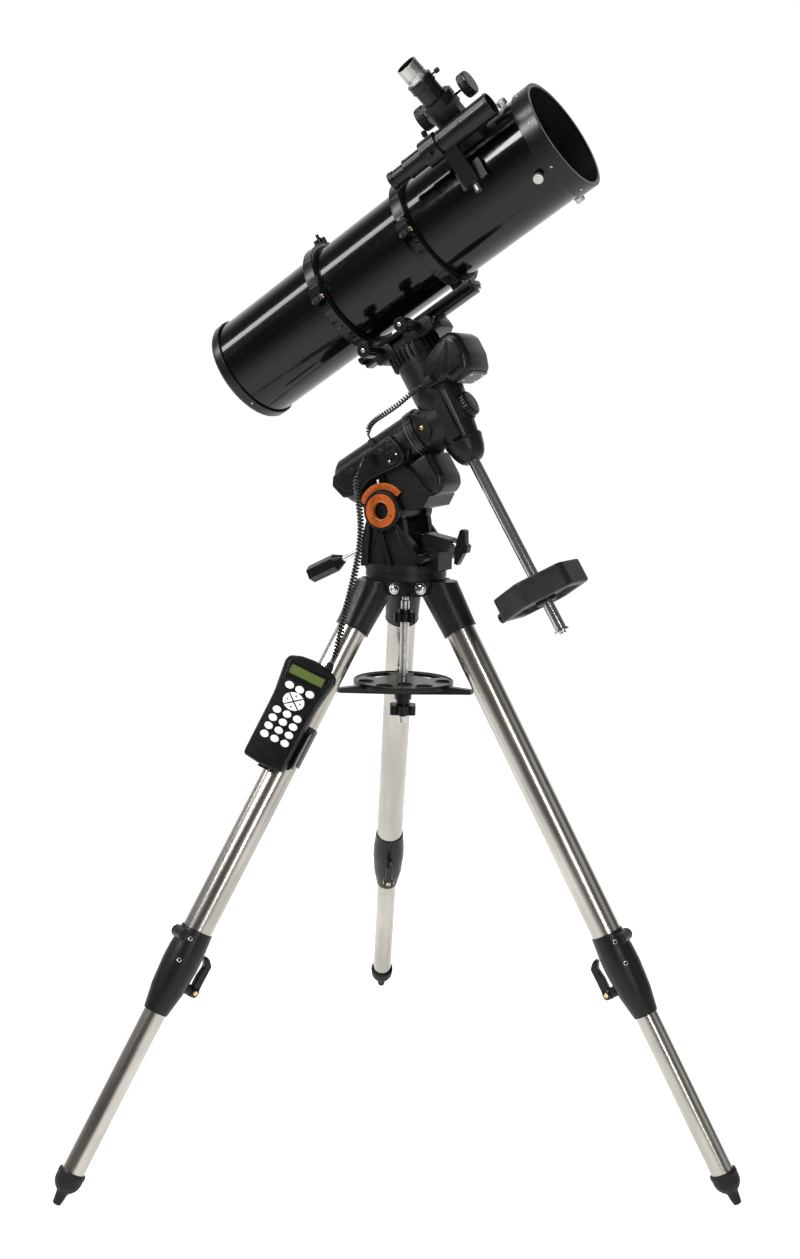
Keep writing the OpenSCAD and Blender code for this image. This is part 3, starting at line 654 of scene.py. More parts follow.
FOCUSER = around(40, 276 * MM) @ turn(90, "Y")
FOCUS_SHAFT = FOCUSER @ move(0, -33, 150)
FINDER = around(62, 0) @ move(136, 0, 0)
CLIP = leg_frame(3) @ turn(28, "Z") @ move(0, 0, -268)
CONTROL = CLIP @ move(60, 0, 0) @ turn(20, "Z")
# Outline across Y and up Z, extruded along X
FACE = Matrix(((0, 0, 1, 0), (1, 0, 0, 0), (0, 1, 0, 0), (0, 0, 0, 1)))
WEIGHT = SKY @ move(332, 0, 0) @ turn(90, "Y")
FRONT_SCREW = move(100, 0, 1051) @ turn(101, "Y")
REAR_SCREW = move(-118, 0, 1017.5) @ turn(64, "Y")


def foot_frame(i):
    return leg_frame(i) @ Matrix.Translation((0, 0, -LEG_LENGTH))


def lever_frame(i):
    return foot_frame(i) @ Matrix.Translation((0, 0, LEVER_HEIGHT))


def clamp_frame(i):
    return foot_frame(i) @ Matrix.Translation((0, 0, CLAMP_HEIGHT))


# ---- CAD nodes: materials and softened edges ----


def soften(node, width):
    """Rounds a CAD node's sharp edges with modifiers, without changing its mesh."""
    obj = frame["nodes"][node]
    weld = obj.modifiers.new("weld", "WELD")
    weld.merge_threshold = 0.00002
    flat = obj.modifiers.new("flat", "DECIMATE")
    flat.decimate_type = "DISSOLVE"
    flat.angle_limit = math.radians(0.5)
    bevel = obj.modifiers.new("bevel", "BEVEL")
    bevel.width = width
    bevel.segments = 3
    bevel.limit_method = "ANGLE"
    bevel.angle_limit = math.radians(32)
    bevel.harden_normals = True
    bevel.use_clamp_overlap = True
    for polygon in obj.data.polygons:
        polygon.use_smooth = True
    normals = obj.modifiers.new("normals", "WEIGHTED_NORMAL")
    normals.keep_sharp = True


def paint(node, material):
    """Gives a CAD node one material."""
    obj = frame["nodes"][node]
    obj.data.materials.clear()
    obj.data.materials.append(material)


# Nodes that other pieces stand for have no finish of their own
NODE_LOOKS = {
    CASTING: ["tripod_head", "mount_base", "polar_housing", "declination_housing", "focuser_body",
              "leg_castings_1", "leg_castings_2", "leg_castings_3"],
    STEEL: ["hinge_bolts", "center_rod"],
    DARK_PLASTIC: ["mounting_knob", "tray_knob", "azimuth_knob_left", "azimuth_knob_right",
                   "latitude_screw_front", "latitude_screw_rear", "counterweight_knob", "saddle_knob_front",
                   "saddle_knob_rear", "ring_knobs", "focus_knobs"],
    PLASTIC: ["accessory_tray", "setting_circle"],
    RUBBER: ["cord_plugs"],
    ORANGE: ["pivot_caps"],
    ANODISED: ["ring_lower_halves", "ring_upper_halves", "front_ring", "rear_cell", "secondary_spider",
               "focuser_drawtube", "finder_scope"],
    PAINT: ["main_tube"],
    MIRROR: ["primary_mirror"],
    BARE_ALUMINIUM: ["eyepiece_adapter"],
    BAR_STEEL: ["counterweight_bar"],
    **{LEG_STEEL[i - 1]: [f"leg_tube_{i}", f"lower_tube_{i}"] for i in LEGS},
}
for look, names in NODE_LOOKS.items():
    for name in names:
        paint(name, look)

SOFT_EDGES = {
    2.0 * MM: ["tripod_head", "mount_base", "polar_housing", "focuser_body", "accessory_tray"],
    3.0 * MM: ["declination_housing", "leg_castings_1", "leg_castings_2", "leg_castings_3"],
    1.2 * MM: ["ring_lower_halves", "ring_upper_halves", "front_ring", "rear_cell", "finder_scope",
               "pivot_caps", "setting_circle"],
    1.5 * MM: NODE_LOOKS[DARK_PLASTIC] + ["cord_plugs"],
    0.6 * MM: ["eyepiece_adapter", "focuser_drawtube", "hinge_bolts", "center_rod", "counterweight_bar"],
}
for width, names in SOFT_EDGES.items():
    for name in names:
        soften(name, width)


def recolour(node, look, place, test):
    """Gives the faces of a CAD node that pass a test, in millimetres in a frame, another material."""
    obj = frame["nodes"][node]
    obj.data.materials.append(look)
    back = place.inverted()
    for polygon in obj.data.polygons:
        centre = (back @ polygon.center) / MM
        normal = back.to_3x3() @ polygon.normal
        if test(centre, normal):
            polygon.material_index = len(obj.data.materials) - 1


def off_axis(p):
    return math.hypot(p.x, p.y)


recolour("main_tube", INNER_BLACK, TUBE, lambda p, n: n.x * p.x + n.y * p.y < 0)
recolour("front_ring", INNER_BLACK, TUBE, lambda p, n: n.x * p.x + n.y * p.y < -1 and off_axis(p) < 90)
recolour("secondary_spider", BARE_ALUMINIUM, TUBE, lambda p, n: off_axis(p) > 91.6)
recolour("latitude_screw_front", STEEL, FRONT_SCREW, lambda p, n: off_axis(p) < 5.6 and p.z < -3)
recolour("latitude_screw_rear", STEEL, REAR_SCREW, lambda p, n: off_axis(p) < 5.2 and p.z > -12)
recolour("finder_scope", BARE_ALUMINIUM, TUBE,
         lambda p, n: p.x < -15.2 and math.hypot(p.y - 96, p.z - 264) < 6.4)
recolour("finder_scope", INNER_BLACK, FINDER, lambda p, n: off_axis(p) < 17.8 and p.z > 299)
recolour("eyepiece_adapter", INNER_BLACK, FOCUSER, lambda p, n: off_axis(p) < 16.2)
recolour("focus_knobs", STEEL, FOCUS_SHAFT @ turn(90, "Y"), lambda p, n: off_axis(p) < 3.2)
recolour("azimuth_knob_left", STEEL, Matrix(), lambda p, n: math.hypot(p.x - 60, p.z - 1031) < 4.2)
recolour("azimuth_knob_right", STEEL, Matrix(), lambda p, n: math.hypot(p.x - 60, p.z - 1031) < 4.2)

# ---- motor covers, on both axes ----

cover = joined(
    (slab([(-46, 8), (-80, 8), (-100, 28), (-112, 62), (-111, 86), (-96, 96), (-64, 96), (-36, 86), (-34, 46),
           (-44, 40)], [3, 14, 26, 22, 20, 20, 22, 14, 8, 4], -45, 45, 15, 15), Matrix()),
    (slab([(-48, 9), (-76, 10), (-92, 30), (-103, 58), (-101, 72), (-93, 75), (-66, 56), (-47, 30)],
          [2, 10, 14, 12, 7, 8, 14, 6], -47.5, 47.5, 3, 3), Matrix()))
piece("declination_cover_shell", cover, SKY @ UPRIGHT, PLASTIC, "declination", "declination_motor_cover")
plate = slab([(-30, 50), (30, 50), (30, 84), (-30, 84)], 4, -36.5, -33.2, 0.3, 1)
piece("declination_cover_plate", plate, SKY @ FACE, GREY_PLASTIC, "declination")
for k, (y, z) in enumerate(((-20, 58), (-20, 76), (20, 58), (20, 76))):
    screw(f"declination_plate_screw_{k}", SKY @ move(-33.2, y, z) @ turn(90, "Y"), 3, 1.4, STEEL,
          "declination")
relief = lathe_mesh([(0, 0), (7, 0), (7.4, 3), (7, 6), (7.4, 9), (6.6, 12), (5.2, 16), (4.6, 17), (0, 17)],
                    24)
piece("declination_cord_boot", relief, SKY @ move(-58, -52, 25) @ turn(180, "X"), RUBBER, "declination")

cover = joined(
    (slab([(40, -97), (40, -48), (86, -48), (101, -54), (108, -68), (106, -86), (95, -98)],
          [2, 6, 20, 14, 14, 16, 14], -40, 40, 13, 13), Matrix()),
    (slab([(40, -92), (40, -54), (82, -54), (96, -60), (101, -70), (99, -83), (89, -92)],
          [2, 5, 14, 10, 10, 12, 10], -44, 44, 5, 5), Matrix()))
piece("polar_cover_shell", cover, SKY @ UPRIGHT, COVER_PLASTIC, "polar", "polar_motor_cover")

# ---- socket panel ----

panel = joined(
    (slab([(-18, -92), (6, -84), (24, -84), (34, -92), (36, -105), (28, -165), (36, -190), (38, -205),
           (28, -226), (0, -235), (-14, -225), (-18, -200)], 7, 20, 56, 1, 4), Matrix()),
    (slab([(-14, -97), (8, -91), (20, -91), (28, -97), (29, -107), (21, -165), (27, -188), (27, -206),
           (20, -216), (0, -226), (-9, -217), (-13, -200)], 6, 55, 58.2, 0.5, 1.6), Matrix()))
piece("socket_panel", panel, SKY @ UPRIGHT, PLASTIC, "polar", "port_panel")
SOCKET = [(0, -8.5), (6, -3), (6, 3), (0, 8.5), (-6, 3), (-6, -3)]
for k, z in enumerate((-103, -121, -186)):
    at = SKY @ move(-1, -58, z) @ UPRIGHT
    rim = slab(SOCKET, 1.5, -0.5, 1.2, 0.2, 0.6)
    piece(f"socket_rim_{k}", rim, at, DARK_PLASTIC, "polar")
    # A near-black well inside each socket rim: painted shade of the socket's hole
    well = slab([(x * 0.72, y * 0.76) for x, y in SOCKET], 1, 0.9, 1.35, 0.1, 0.1)
    piece(f"socket_well_shade_{k}", well, at, SHADE_AND_MARK_BLACK, "polar")
rim_line = [SKY @ (Vector(p) * MM) for p in
            ((25, -58, -96), (29, -58, -104), (27, -58, -112), (20, -58, -116), (11, -58, -113),
             (7, -58, -104), (10, -58, -94))]
fit(wire("switch_rim", smooth(rim_line, 5)[:-1], 1.4 * MM, PLASTIC), "polar")
piece("power_switch", slab([(-3, -5), (3, -5), (3, 5), (-3, 5)], 1.2, 0, 3, 0.2, 1),
      SKY @ move(17, -58, -104) @ UPRIGHT, DARK_PLASTIC, "polar")
for k, (x, z) in enumerate(((17, -95), (21, -112))):
    lamp = lathe_mesh([(0, 0), (1.7, 0), (1.6, 0.8), (1.0, 1.4), (0, 1.6)], 16)
    piece(f"power_lamp_{k}", lamp, SKY @ move(x, -58, z) @ UPRIGHT, WHITE_MARK, "polar")

# ---- latitude scale, pointer and pivot rings ----

for side in (-1, 1):
    at = PIVOT @ move(0, side * 62, 0) @ turn(90 * -side, "X")
    lip = lathe_mesh([(14.7, -6), (14.7, 0.4), (16.2, 0.8), (17, 0.2), (17, -1), (15.5, -6)], 48)
    piece(f"pivot_lip_{'left' if side < 0 else 'right'}", lip, at, ORANGE, "base")
    ring = lathe_mesh([(28.8, -7), (28.8, -2.2), (30, -1.2), (33.6, -1.6), (34.6, -3), (34.6, -7)], 48)
    piece(f"pivot_boss_ring_{'left' if side < 0 else 'right'}", ring, at, CASTING, "base")
    for k, a in enumerate((20, 140, 260)):
        spot = at @ turn(a, "Z") @ move(21.5, 0, -1.6)
        pin = lathe_mesh([(0, 0), (1.9, 0), (1.9, 0.9), (1.2, 1.4), (0, 1.4)], 12)
        piece(f"pivot_pin_{side + 1}_{k}", pin, spot, STEEL if k == 1 else DARK_PLASTIC, "base")
ticks = []
for k in range(17):
    a = 52 + 6 * k
    long = 6 if k % 2 == 0 else 3.5
    place = turn(-a, "Y") @ move(37.6 + long / 2, -53.6, 0) @ turn(90, "X")
    ticks.append((box_mesh((long, 0.7, 0.5), 0), place))
piece("latitude_ticks", joined(*ticks), PIVOT, SHADE_AND_MARK_BLACK, "base")
pointer = slab([(-2.2, 0), (2.2, 0), (0.6, -7), (-0.6, -7)], 0.4, -0.4, 0.5, 0.1, 0.2)
piece("latitude_pointer", pointer, PIVOT @ turn(-12, "Y") @ move(0, -54.6, 53) @ UPRIGHT, WHITE_MARK, "polar")

for side in (-1, 1):
    for k, (a, reach) in enumerate(((18, 100), (-8, 104), (-36, 118))):
        rib = box_mesh((3.6, 4.2, reach - 34), 1.4)
        piece(f"base_rib_{side + 1}_{k}", rib,
              PIVOT @ turn(a, "Y") @ move(0, side * 49.5, -34 - (reach - 34) / 2), CASTING, "base")

# ---- polar and declination housings ----

# A raised grey ring under the setting marks; its lighter grey is a painted edge highlight
line = lathe_mesh([(45.6, -0.45), (46.25, -0.45), (46.35, 0), (46.25, 0.45), (45.6, 0.45)], 96)
piece("setting_ring_painted_highlight", line, SKY @ move(0, 0, -67), GREY_MARK_AND_HIGHLIGHT, "declination")
marks = [(box_mesh((0.5, 0.5, 5 if k % 6 == 0 else 3), 0), turn(k * 5, "Z") @ move(46.1, 0, -61))
         for k in range(72)]
piece("setting_marks", joined(*marks), SKY, GREY_MARK_AND_HIGHLIGHT, "declination")
bell = lathe_mesh([(28.4, 45.5), (32.6, 46), (33.2, 47.2), (33.2, 50.6), (32.4, 51.6), (31.8, 55),
                   (28.6, 68), (24.8, 77), (20.6, 83), (16.4, 86.6), (14, 87.5), (10.3, 87.5), (10.3, 60),
                   (28.4, 60)], 64)
piece("declination_bell", bell, SKY @ turn(90, "Y"), CASTING, "declination")
groove = lathe_mesh([(31, 51.9), (32.5, 51.9), (32.5, 52.5), (31, 52.5)], 64)
piece("declination_bell_seam", groove, SKY @ turn(90, "Y"), SHADE_AND_MARK_BLACK, "declination", slot="black_casting")


def cone_place(x, degrees, proud=0.2):
    """Point on the declination housing's cone, at an angle from the near side towards the pole."""
    r = 44 - 15 * (x + 44) / 93 + proud
    return SKY @ (Vector((x, -r * math.cos(math.radians(degrees)), r * math.sin(math.radians(degrees)))) * MM)


for k, a in enumerate((38, 142)):
    fit(wire(f"declination_trim_{k}", [cone_place(x, a, 0.1) for x in (-34, 0, 24, 47)], 0.8 * MM, GREY_MARK_AND_HIGHLIGHT),
        "declination", slot="silver_steel")
    fit(wire(f"declination_seam_{k}", [cone_place(x, a + 5, 0) for x in (-34, 0, 24, 47)], 0.7 * MM,
             SHADE_AND_MARK_BLACK), "declination", slot="black_casting")
pad = slab([(-34, -47), (-14, -24), (14, -24), (34, -47)], [3, 10, 10, 3], 36.5, 42.6, 0.5, 1.2)
piece("polar_flange_pad", pad, SKY @ UPRIGHT, CASTING, "declination")
screw("polar_flange_screw", SKY @ move(0, -42.6, -38) @ UPRIGHT, 3.6, 2, BRASS, "declination")
for k, y in enumerate((-24, 24)):
    screw(f"polar_block_screw_{k}", SKY @ move(88, y, -84), 3.2, 1.8, STEEL, "polar")
cap = knob_mesh(21.8, 12.5, 18, 1.2, 2.5)
piece("polar_cap_grip", cap, SKY @ move(0, 0, 34), DARK_PLASTIC, "declination", "polar_port_cap")
piece("polar_cap_ring", lathe_mesh([(12, 0), (14, 0), (14, 1.2), (12, 1.2)], 40), SKY @ move(0, 0, 45.6),
      DARK_PLASTIC, "declination")

# ---- counterweight ----


def weight_shell():
    outline = []
    for k in range(120):
        a = 3 * k
        off = (a + 30) % 60 - 30
        outline.append(Vector((math.cos(math.radians(a)), math.sin(math.radians(a))))
                       * min(78, 70.15 / math.cos(math.radians(off))))
    bm = pillow_mesh(outline, -20.5, 20.5, 4, 4)
    for top in (True, False):
        bm.faces.ensure_lookup_table()
        end = max(bm.faces, key=lambda f: (f.calc_center_median().z if top else -f.calc_center_median().z)
                  + (1 if len(f.verts) > 8 else 0))
        bmesh.ops.inset_region(bm, faces=[end], thickness=12 * MM, use_even_offset=True)
        bmesh.ops.inset_region(bm, faces=[end], thickness=2.5 * MM, use_even_offset=True)
        for v in end.verts:
            v.co.z += (-7 if top else 7) * MM
    return bm


piece("counterweight_shell", weight_shell(), WEIGHT, IRON, "weight", "counterweight", crease=40)
hub = lathe_mesh([(10.2, -23.5), (16.5, -23.5), (18, -22), (18, 22), (16.5, 23.5), (10.2, 23.5),
                  (10.2, -23.5)], 48)
piece("counterweight_hub", hub, WEIGHT, IRON, "weight")
grip = knob_mesh(9, 18, 12, 0.7, 2)
piece("counterweight_grip", grip, SKY @ move(340, 0, -72) @ turn(180, "X"), DARK_PLASTIC, "weight_knob")

# ---- legs ----

for i in LEGS:
    foot = lathe_mesh([(0, 0), (5.6, 0), (6.9, 1.2), (8.4, 10), (9.6, 19), (11.5, 22.5), (15.5, 25.6),
                       (19, 30), (21.6, 35.5), (22.6, 41.5), (22.6, 49), (23.3, 50), (23.3, 55), (22.6, 56),
                       (19.3, 56), (19.1, 44), (0, 44)], 48)
    piece(f"foot_{i}", foot, foot_frame(i), RUBBER, f"lower_leg_{i}", f"rubber_foot_{i}")
    lever = joined(
        (slab([(-41, -9), (-40.5, 26), (-43.5, 44), (-37, 56), (-40, 61), (-46, 58), (-55, 49), (-54.5, 20),
               (-55, -9)], [4, 8, 8, 2, 2, 4, 6, 10, 4], -6.5, 6.5, 2, 2), UPRIGHT),
        (lathe_mesh([(0, 24), (4, 24), (4, 40.5), (9.4, 40.5), (10, 42), (10, 52), (9, 54), (0, 54)], 32),
         turn(-90, "Y")))
    piece(f"lever_shape_{i}", lever, lever_frame(i), DARK_PLASTIC, f"lever_{i}", f"lock_lever_{i}")
    screw(f"lever_screw_{i}", lever_frame(i) @ move(-54, 0, 0) @ turn(-90, "Y"), 5, 2.4, BRASS, f"lever_{i}")
    for s in (-1, 1):
        pin = lathe_mesh([(0, 0), (4, 0), (4, 1.2), (3.2, 1.8), (0, 1.8)], 20)
        piece(f"lever_pin_{i}_{s + 1}", pin, lever_frame(i) @ move(-47.5, s * 9, 0) @ turn(-90 * s, "X"),
              BRASS, f"lever_{i}")
        for k, (z, r) in enumerate(((131, 28.9), (93, 31.2))):
            at = clamp_frame(i) @ turn(s * 52, "Z") @ move(r - 1.0, 0, z) @ turn(90, "Y")
            ring = lathe_mesh([(2.2, 0), (3.8, 0), (3.8, 1.6), (3.2, 2.2), (2.4, 2.0), (2.2, 0.6)], 20)
            piece(f"clamp_ring_{i}_{s + 1}_{k}", ring, at, STEEL, f"leg_{i}")
            # A near-black disc inside each screw ring: painted shade of the screw hole
            well = lathe_mesh([(0, 0), (2.3, 0), (2.3, 1.4), (0, 1.4)], 16)
            piece(f"clamp_well_{i}_{s + 1}_{k}", well, at, SHADE_AND_MARK_BLACK, f"leg_{i}")
        boss = lathe_mesh([(0, -1), (10.3, -1), (10.3, 0.6), (9.3, 1.4), (6.8, 1.4), (6.2, 0.2),
                           (0, 0.2)], 40)
        piece(f"clamp_boss_{i}_{s + 1}", boss, clamp_frame(i) @ move(25, s * 15, 131) @ turn(-90 * s, "X"),
              CASTING, f"leg_{i}")
        head = leg_frame(i) @ move(-14, s * 40.6, 6.3) @ turn(-90 * s, "X")
        screw(f"hinge_screw_{i}_{s + 1}", head, 8.3, 4.2, STEEL, "tripod")
        washer = lathe_mesh([(8, -2), (10.6, -2), (10.6, -0.8), (10, -0.4), (8, -0.4)], 32)
        piece(f"hinge_washer_{i}_{s + 1}", washer, head, STEEL, "tripod")
    band = lathe_mesh([(29.2, -86.2), (30.1, -86), (30.2, -84.4), (29.4, -83.6)], 48)
    piece(f"bracket_lip_{i}", band, leg_frame(i), CASTING, f"leg_{i}")

# ---- tray and centre rod ----

TRAY_HEIGHT = 809
washer = lathe_mesh([(7.8, -2.6), (12.5, -2.6), (13, -2.2), (13, -0.4), (7.8, -0.4), (7.8, -2.6)], 40)
piece("tray_washer", washer, move(0, 0, 783.5), STEEL, "tray")
edge = lathe_mesh([(84.4, -7.2), (87, -7.2), (87.6, -6), (87.6, 0.6), (86.6, 1.6), (84.8, 1.4), (84.2, 0.2),
                   (84.4, -7.2)], 96)
piece("tray_rim", edge, move(0, 0, TRAY_HEIGHT), PLASTIC, "tray")
# Distance from the middle, angle and radius of each opening
TRAY_HOLES = ((69, -89, 14.5), (67, -28, 14), (42, -58, 13), (69, 25, 12), (68, -135, 12.5))
for k, (reach, a, r) in enumerate(TRAY_HOLES):
    lip = lathe_mesh([(r + 0.2, -5.8), (r + 0.2, 0.6), (r + 0.8, 1.1), (r + 2, 0.9), (r + 2.4, -0.2),
                      (r + 2.4, -5.8), (r + 0.2, -5.8)], 40)
    piece(f"tray_hole_lip_{k}", lip, turn(a, "Z") @ move(reach, 0, TRAY_HEIGHT), PLASTIC, "tray")

# ---- telescope ----


def lens(name, matrix, r, bulge, body):
    dome = [(r * math.cos(t), 1 + bulge * math.sin(t)) for t in (0.3, 0.6, 0.9, 1.2, 1.4)]
    glass = lathe_mesh([(0, 0), (r, 0), (r, 1)] + dome + [(0, 1 + bulge)], 48)
    piece(name, glass, matrix, LENS, body)


lens("finder_objective", FINDER @ move(0, 0, 308), 17.4, 2.5, "telescope")
lens("finder_eye_lens", FINDER @ move(0, 0, 151.6) @ turn(180, "X"), 8, 1.5, "telescope")
# Height along the finder and radius
FINDER_RINGS = ((352.5, 19.9), (300, 19.9), (259, 19.9), (186, 16.9), (178, 13.6), (172, 13.6), (166, 13.6),
                (155, 15.1))
for k, (z, r) in enumerate(FINDER_RINGS):
    ring = lathe_mesh([(r - 0.9, -1.6), (r - 0.2, -1.6), (r, -1), (r, 1), (r - 0.2, 1.6), (r - 0.9, 1.6)], 64)
    piece(f"finder_ring_{k}", ring, FINDER @ move(0, 0, z), ANODISED, "telescope")
for k, a in enumerate((60, 300)):
    grip = knob_mesh(4.6, 8, 10, 0.5, 1.2)
    piece(f"finder_screw_grip_{k}", grip, FINDER @ turn(a, "Z") @ move(26, 0, 237) @ turn(90, "Y"),
          DARK_PLASTIC, "telescope")
screw("finder_spring_cap", FINDER @ turn(180, "Z") @ move(22, 0, 237) @ turn(90, "Y"), 4, 2.4, STEEL,
      "telescope")
# Angle around the tube, height along it, distance out and head radius
TUBE_SCREWS = ([(38 + 90 * n, 377, 95.1, 1.9) for n in range(4)]
               + [(83 + 90 * n, 383, 95.1, 2.3) for n in range(4)]
               + [(20 + 120 * n, -300, 95.6, 2.0) for n in range(3)])
for k, (psi, z, r, size) in enumerate(TUBE_SCREWS):
    screw(f"tube_screw_{k}", around(psi, z * MM) @ move(r - 0.2, 0, 0) @ turn(90, "Y"), size, 1.5, STEEL,
          "telescope")
for k in range(4):
    at = around(38 + 90 * k, 352 * MM) @ move(96.5, 0, 0) @ turn(90, "Y")
    piece(f"spider_nut_{k}", knob_mesh(8.3, 9.2, 16, 0.6, 1.8), at, BARE_ALUMINIUM, "telescope")
for n, z in enumerate((-68, 127)):
    for k, psi in enumerate((93, 273)):
        for s in (-1, 1):
            across = 6.5 if psi == 93 else -6.5
            at = around(psi, z * MM) @ move(106.5, across, s * 10) @ turn(0 if s > 0 else 180, "X")
            screw(f"ring_screw_{n}_{k}_{s + 1}", at, 4.2, 2.2, BRASS if s > 0 else STEEL, "telescope")
    for s in (-1, 1):
        felt = lathe_mesh([(91.7, -1.2), (96, -1.2), (96, 0.8), (91.7, 0.8), (91.7, -1.2)], 96)
        piece(f"ring_felt_{n}_{s + 1}", felt, around(0, z * MM) @ move(0, 0, s * 9.6), FELT, "telescope")
        edge = lathe_mesh([(101.2, -1), (102.4, -1), (102.9, -0.5), (102.9, 0.5), (102.4, 1), (101.2, 1),
                           (101.2, -1)], 96)
        piece(f"ring_edge_{n}_{s + 1}", edge, around(0, z * MM) @ move(0, 0, s * 9), ANODISED, "telescope")
for k, s in enumerate((-1, 1)):
    at = FOCUS_SHAFT @ turn(90 * s, "Y") @ move(0, 0, 50.6)
    screw(f"focus_knob_screw_{k}", at, 3.4, 1.8, STEEL, "focus_knobs")
    grip = knob_mesh(20.4, 13.5, 30, 0.5, 3)
    piece(f"focus_knob_grip_{k}", grip, FOCUS_SHAFT @ turn(90 * s, "Y") @ move(0, 0, 37.5),
          DARK_PLASTIC, "focus_knobs")
for k, (r, z) in enumerate(((21.8, 199.5), (21.8, 211.5))):
    ring = lathe_mesh([(r - 1, -1.1), (r, -1.1), (r + 0.3, -0.6), (r + 0.3, 0.6), (r, 1.1), (r - 1, 1.1)], 64)
    piece(f"drawtube_ring_{k}", ring, FOCUSER @ move(0, 0, z), ANODISED, "drawtube")
piece("drawtube_screw_grip", knob_mesh(3.9, 7.4, 10, 0.5, 1), FOCUSER @ move(-28, 0, 206) @ turn(-90, "Y"),
      DARK_PLASTIC, "drawtube")
barrel = lathe_mesh([(17.7, 1), (18.2, 1.4), (18.2, 3.4), (17.9, 3.8), (17.9, 8), (18.15, 8.4), (18.15, 9.6),
                     (17.9, 10)], 64)
piece("eyepiece_band", barrel, FOCUSER @ move(0, 0, 214), BARE_ALUMINIUM, "drawtube")
lens("eyepiece_glass", FOCUSER @ move(0, 0, 226), 15.6, 1.2, "drawtube")
angles = [math.pi * k / 24 for k in range(48)]
oval_edge = [Vector((26 * math.cos(a), 18.6 * math.sin(a))) for a in angles]
mirror_face = pillow_mesh(oval_edge, -0.6, 0.8, 0.2, 0.3)
diagonal = around(40, 276 * MM) @ turn(45, "Y")
piece("secondary_mirror", mirror_face, diagonal, MIRROR, "telescope")

# ---- saddle ----

plate = joined(
    (slab([(-30, -56), (30, -56), (35, -40), (35, 44), (26, 70), (-26, 70), (-35, 44), (-35, -40)],
          [6, 6, 12, 12, 8, 8, 12, 12], -141.5, -131, 1.5, 2), FACE),
    (slab([(-46, 0), (-34, -26), (0, -44), (34, -26), (46, 0), (34, 28), (0, 42), (-34, 28)], 20,
          -131, -126.5, 1, 1), FACE),
    (lathe_mesh([(0, -131.5), (41, -131.5), (43.6, -129), (44, -126), (44, -98), (0, -98)], 72),
     turn(90, "Y")),
    (slab([(-159, -55), (-159, 57), (-150, 64), (-131, 60), (-131, -57)],
          [4, 4, 4, 3, 3], -36.5, -23.5, 2, 2), UPRIGHT),
    (slab([(-158, 10), (-158, 60), (-149, 67), (-132, 62), (-132, 4), (-146, 4)],
          [4, 5, 5, 4, 2, 5], 24.5, 38.5, 2.5, 2.5), UPRIGHT),
    (slab([(-158, -60), (-158, -27), (-146, -21), (-132, -21), (-132, -60)],
          [4, 5, 5, 2, 4], 24.5, 38.5, 2.5, 2.5), UPRIGHT),
    (slab([(-144, -24), (-144, 8), (-133, 8), (-133, -24)], 1.5, 24.5, 36, 1.5, 1.5), UPRIGHT),
    *((box_mesh((22, 13, 2.6), 0.8), turn(a, "X") @ move(-121, -44, 0)) for a in range(-84, 100, 12)))
piece("saddle_plate", plate, SKY, CASTING, "telescope", "saddle")
rail = joined(
    (slab([(-20, -98), (20, -98), (20, 150), (-20, 150)], 2, -170, -161.5, 0.8, 0.8), FACE),
    (box_mesh((13, 22, 240), 0.8), move(-157, 0, 26)),
    (slab([(-22, -62), (22, -62), (22, 68), (-22, 68)], 2, -155, -142, 3, 0.6), FACE),
    *((box_mesh((5, 40, 3), 0.6), move(-160, 0, z)) for z in (-94, 146)))
piece("dovetail_rail", rail, SKY, ANODISED, "telescope", "dovetail_bar")
for n, z in enumerate((38, -42)):
    grip = knob_mesh(12.4, 29, 10, 1.6, 3)
    body = "saddle_front" if n == 0 else "saddle_rear"
    piece(f"saddle_grip_{n}", grip, SKY @ move(-150, -69.5, z) @ UPRIGHT, DARK_PLASTIC, body)
    screw(f"saddle_grip_cap_{n}", SKY @ move(-150, -98.4, z) @ UPRIGHT, 3.4, 1.6, STEEL, body)
for k, z in enumerate((-94, 146)):
    at = SKY @ move(-156, 0, z) @ turn(-90, "Y") @ move(0, 0, 14.2)
    screw(f"dovetail_stop_{k}", at, 4, 2.4, STEEL, "telescope")

# ---- hand control ----

CONTROL_OUTLINE = [(-36, -90), (-38, -82), (-39, 24), (-47, 80), (-43, 91), (-24, 98), (0, 100.5), (24, 98),
                   (43, 91), (47, 80), (39, 24), (38, -82), (36, -90), (0, -94)]
corner = [6, 8, 60, 7, 9, 22, 40, 22, 9, 7, 60, 8, 6, 60]
casing = joined(
    (slab(CONTROL_OUTLINE, corner, -24, -5, 9, 1.2), Matrix()),
    (slab([(y * 0.975, z * 0.985) for y, z in CONTROL_OUTLINE], corner, -6, 0.4, 0.2, 2.2), Matrix()))
piece("control_casing", casing, CONTROL @ FACE, PLASTIC, "hand_control", "hand_control")
RIDGE = ((34.5, -86), (35, -40), (35.6, 16), (39, 52), (43.4, 79), (42.4, 87))
for k, sign in enumerate((-1, 1)):
    ridge = [CONTROL @ (Vector((0.3, sign * y, z)) * MM) for y, z in RIDGE]
    fit(wire(f"control_ridge_{k}", smooth(ridge, 4), 0.75 * MM, PLASTIC), "hand_control")
seam = [CONTROL @ (Vector((0.3, y, -66 - 2.5 * math.cos(y / 22))) * MM) for y in range(-34, 35, 4)]
fit(wire("control_seam", seam, 0.35 * MM, SHADE_AND_MARK_BLACK), "hand_control")
window = slab([(-33.5, 54), (33.5, 54), (38, 84.5), (-38, 84.5)], 3, 0, 0.9, 0.1, 0.4)
piece("display_window", window, CONTROL @ FACE, WINDOW, "hand_control")
border = rounded([(-31, 62.5), (31, 62.5), (31, 79.5), (-31, 79.5)], 1.5)
border = [CONTROL @ (Vector((0.9, p.x, p.y)) * MM) for p in border + border[:1]]
fit(wire("display_frame", border, 0.7 * MM, DARK_PLASTIC), "hand_control")
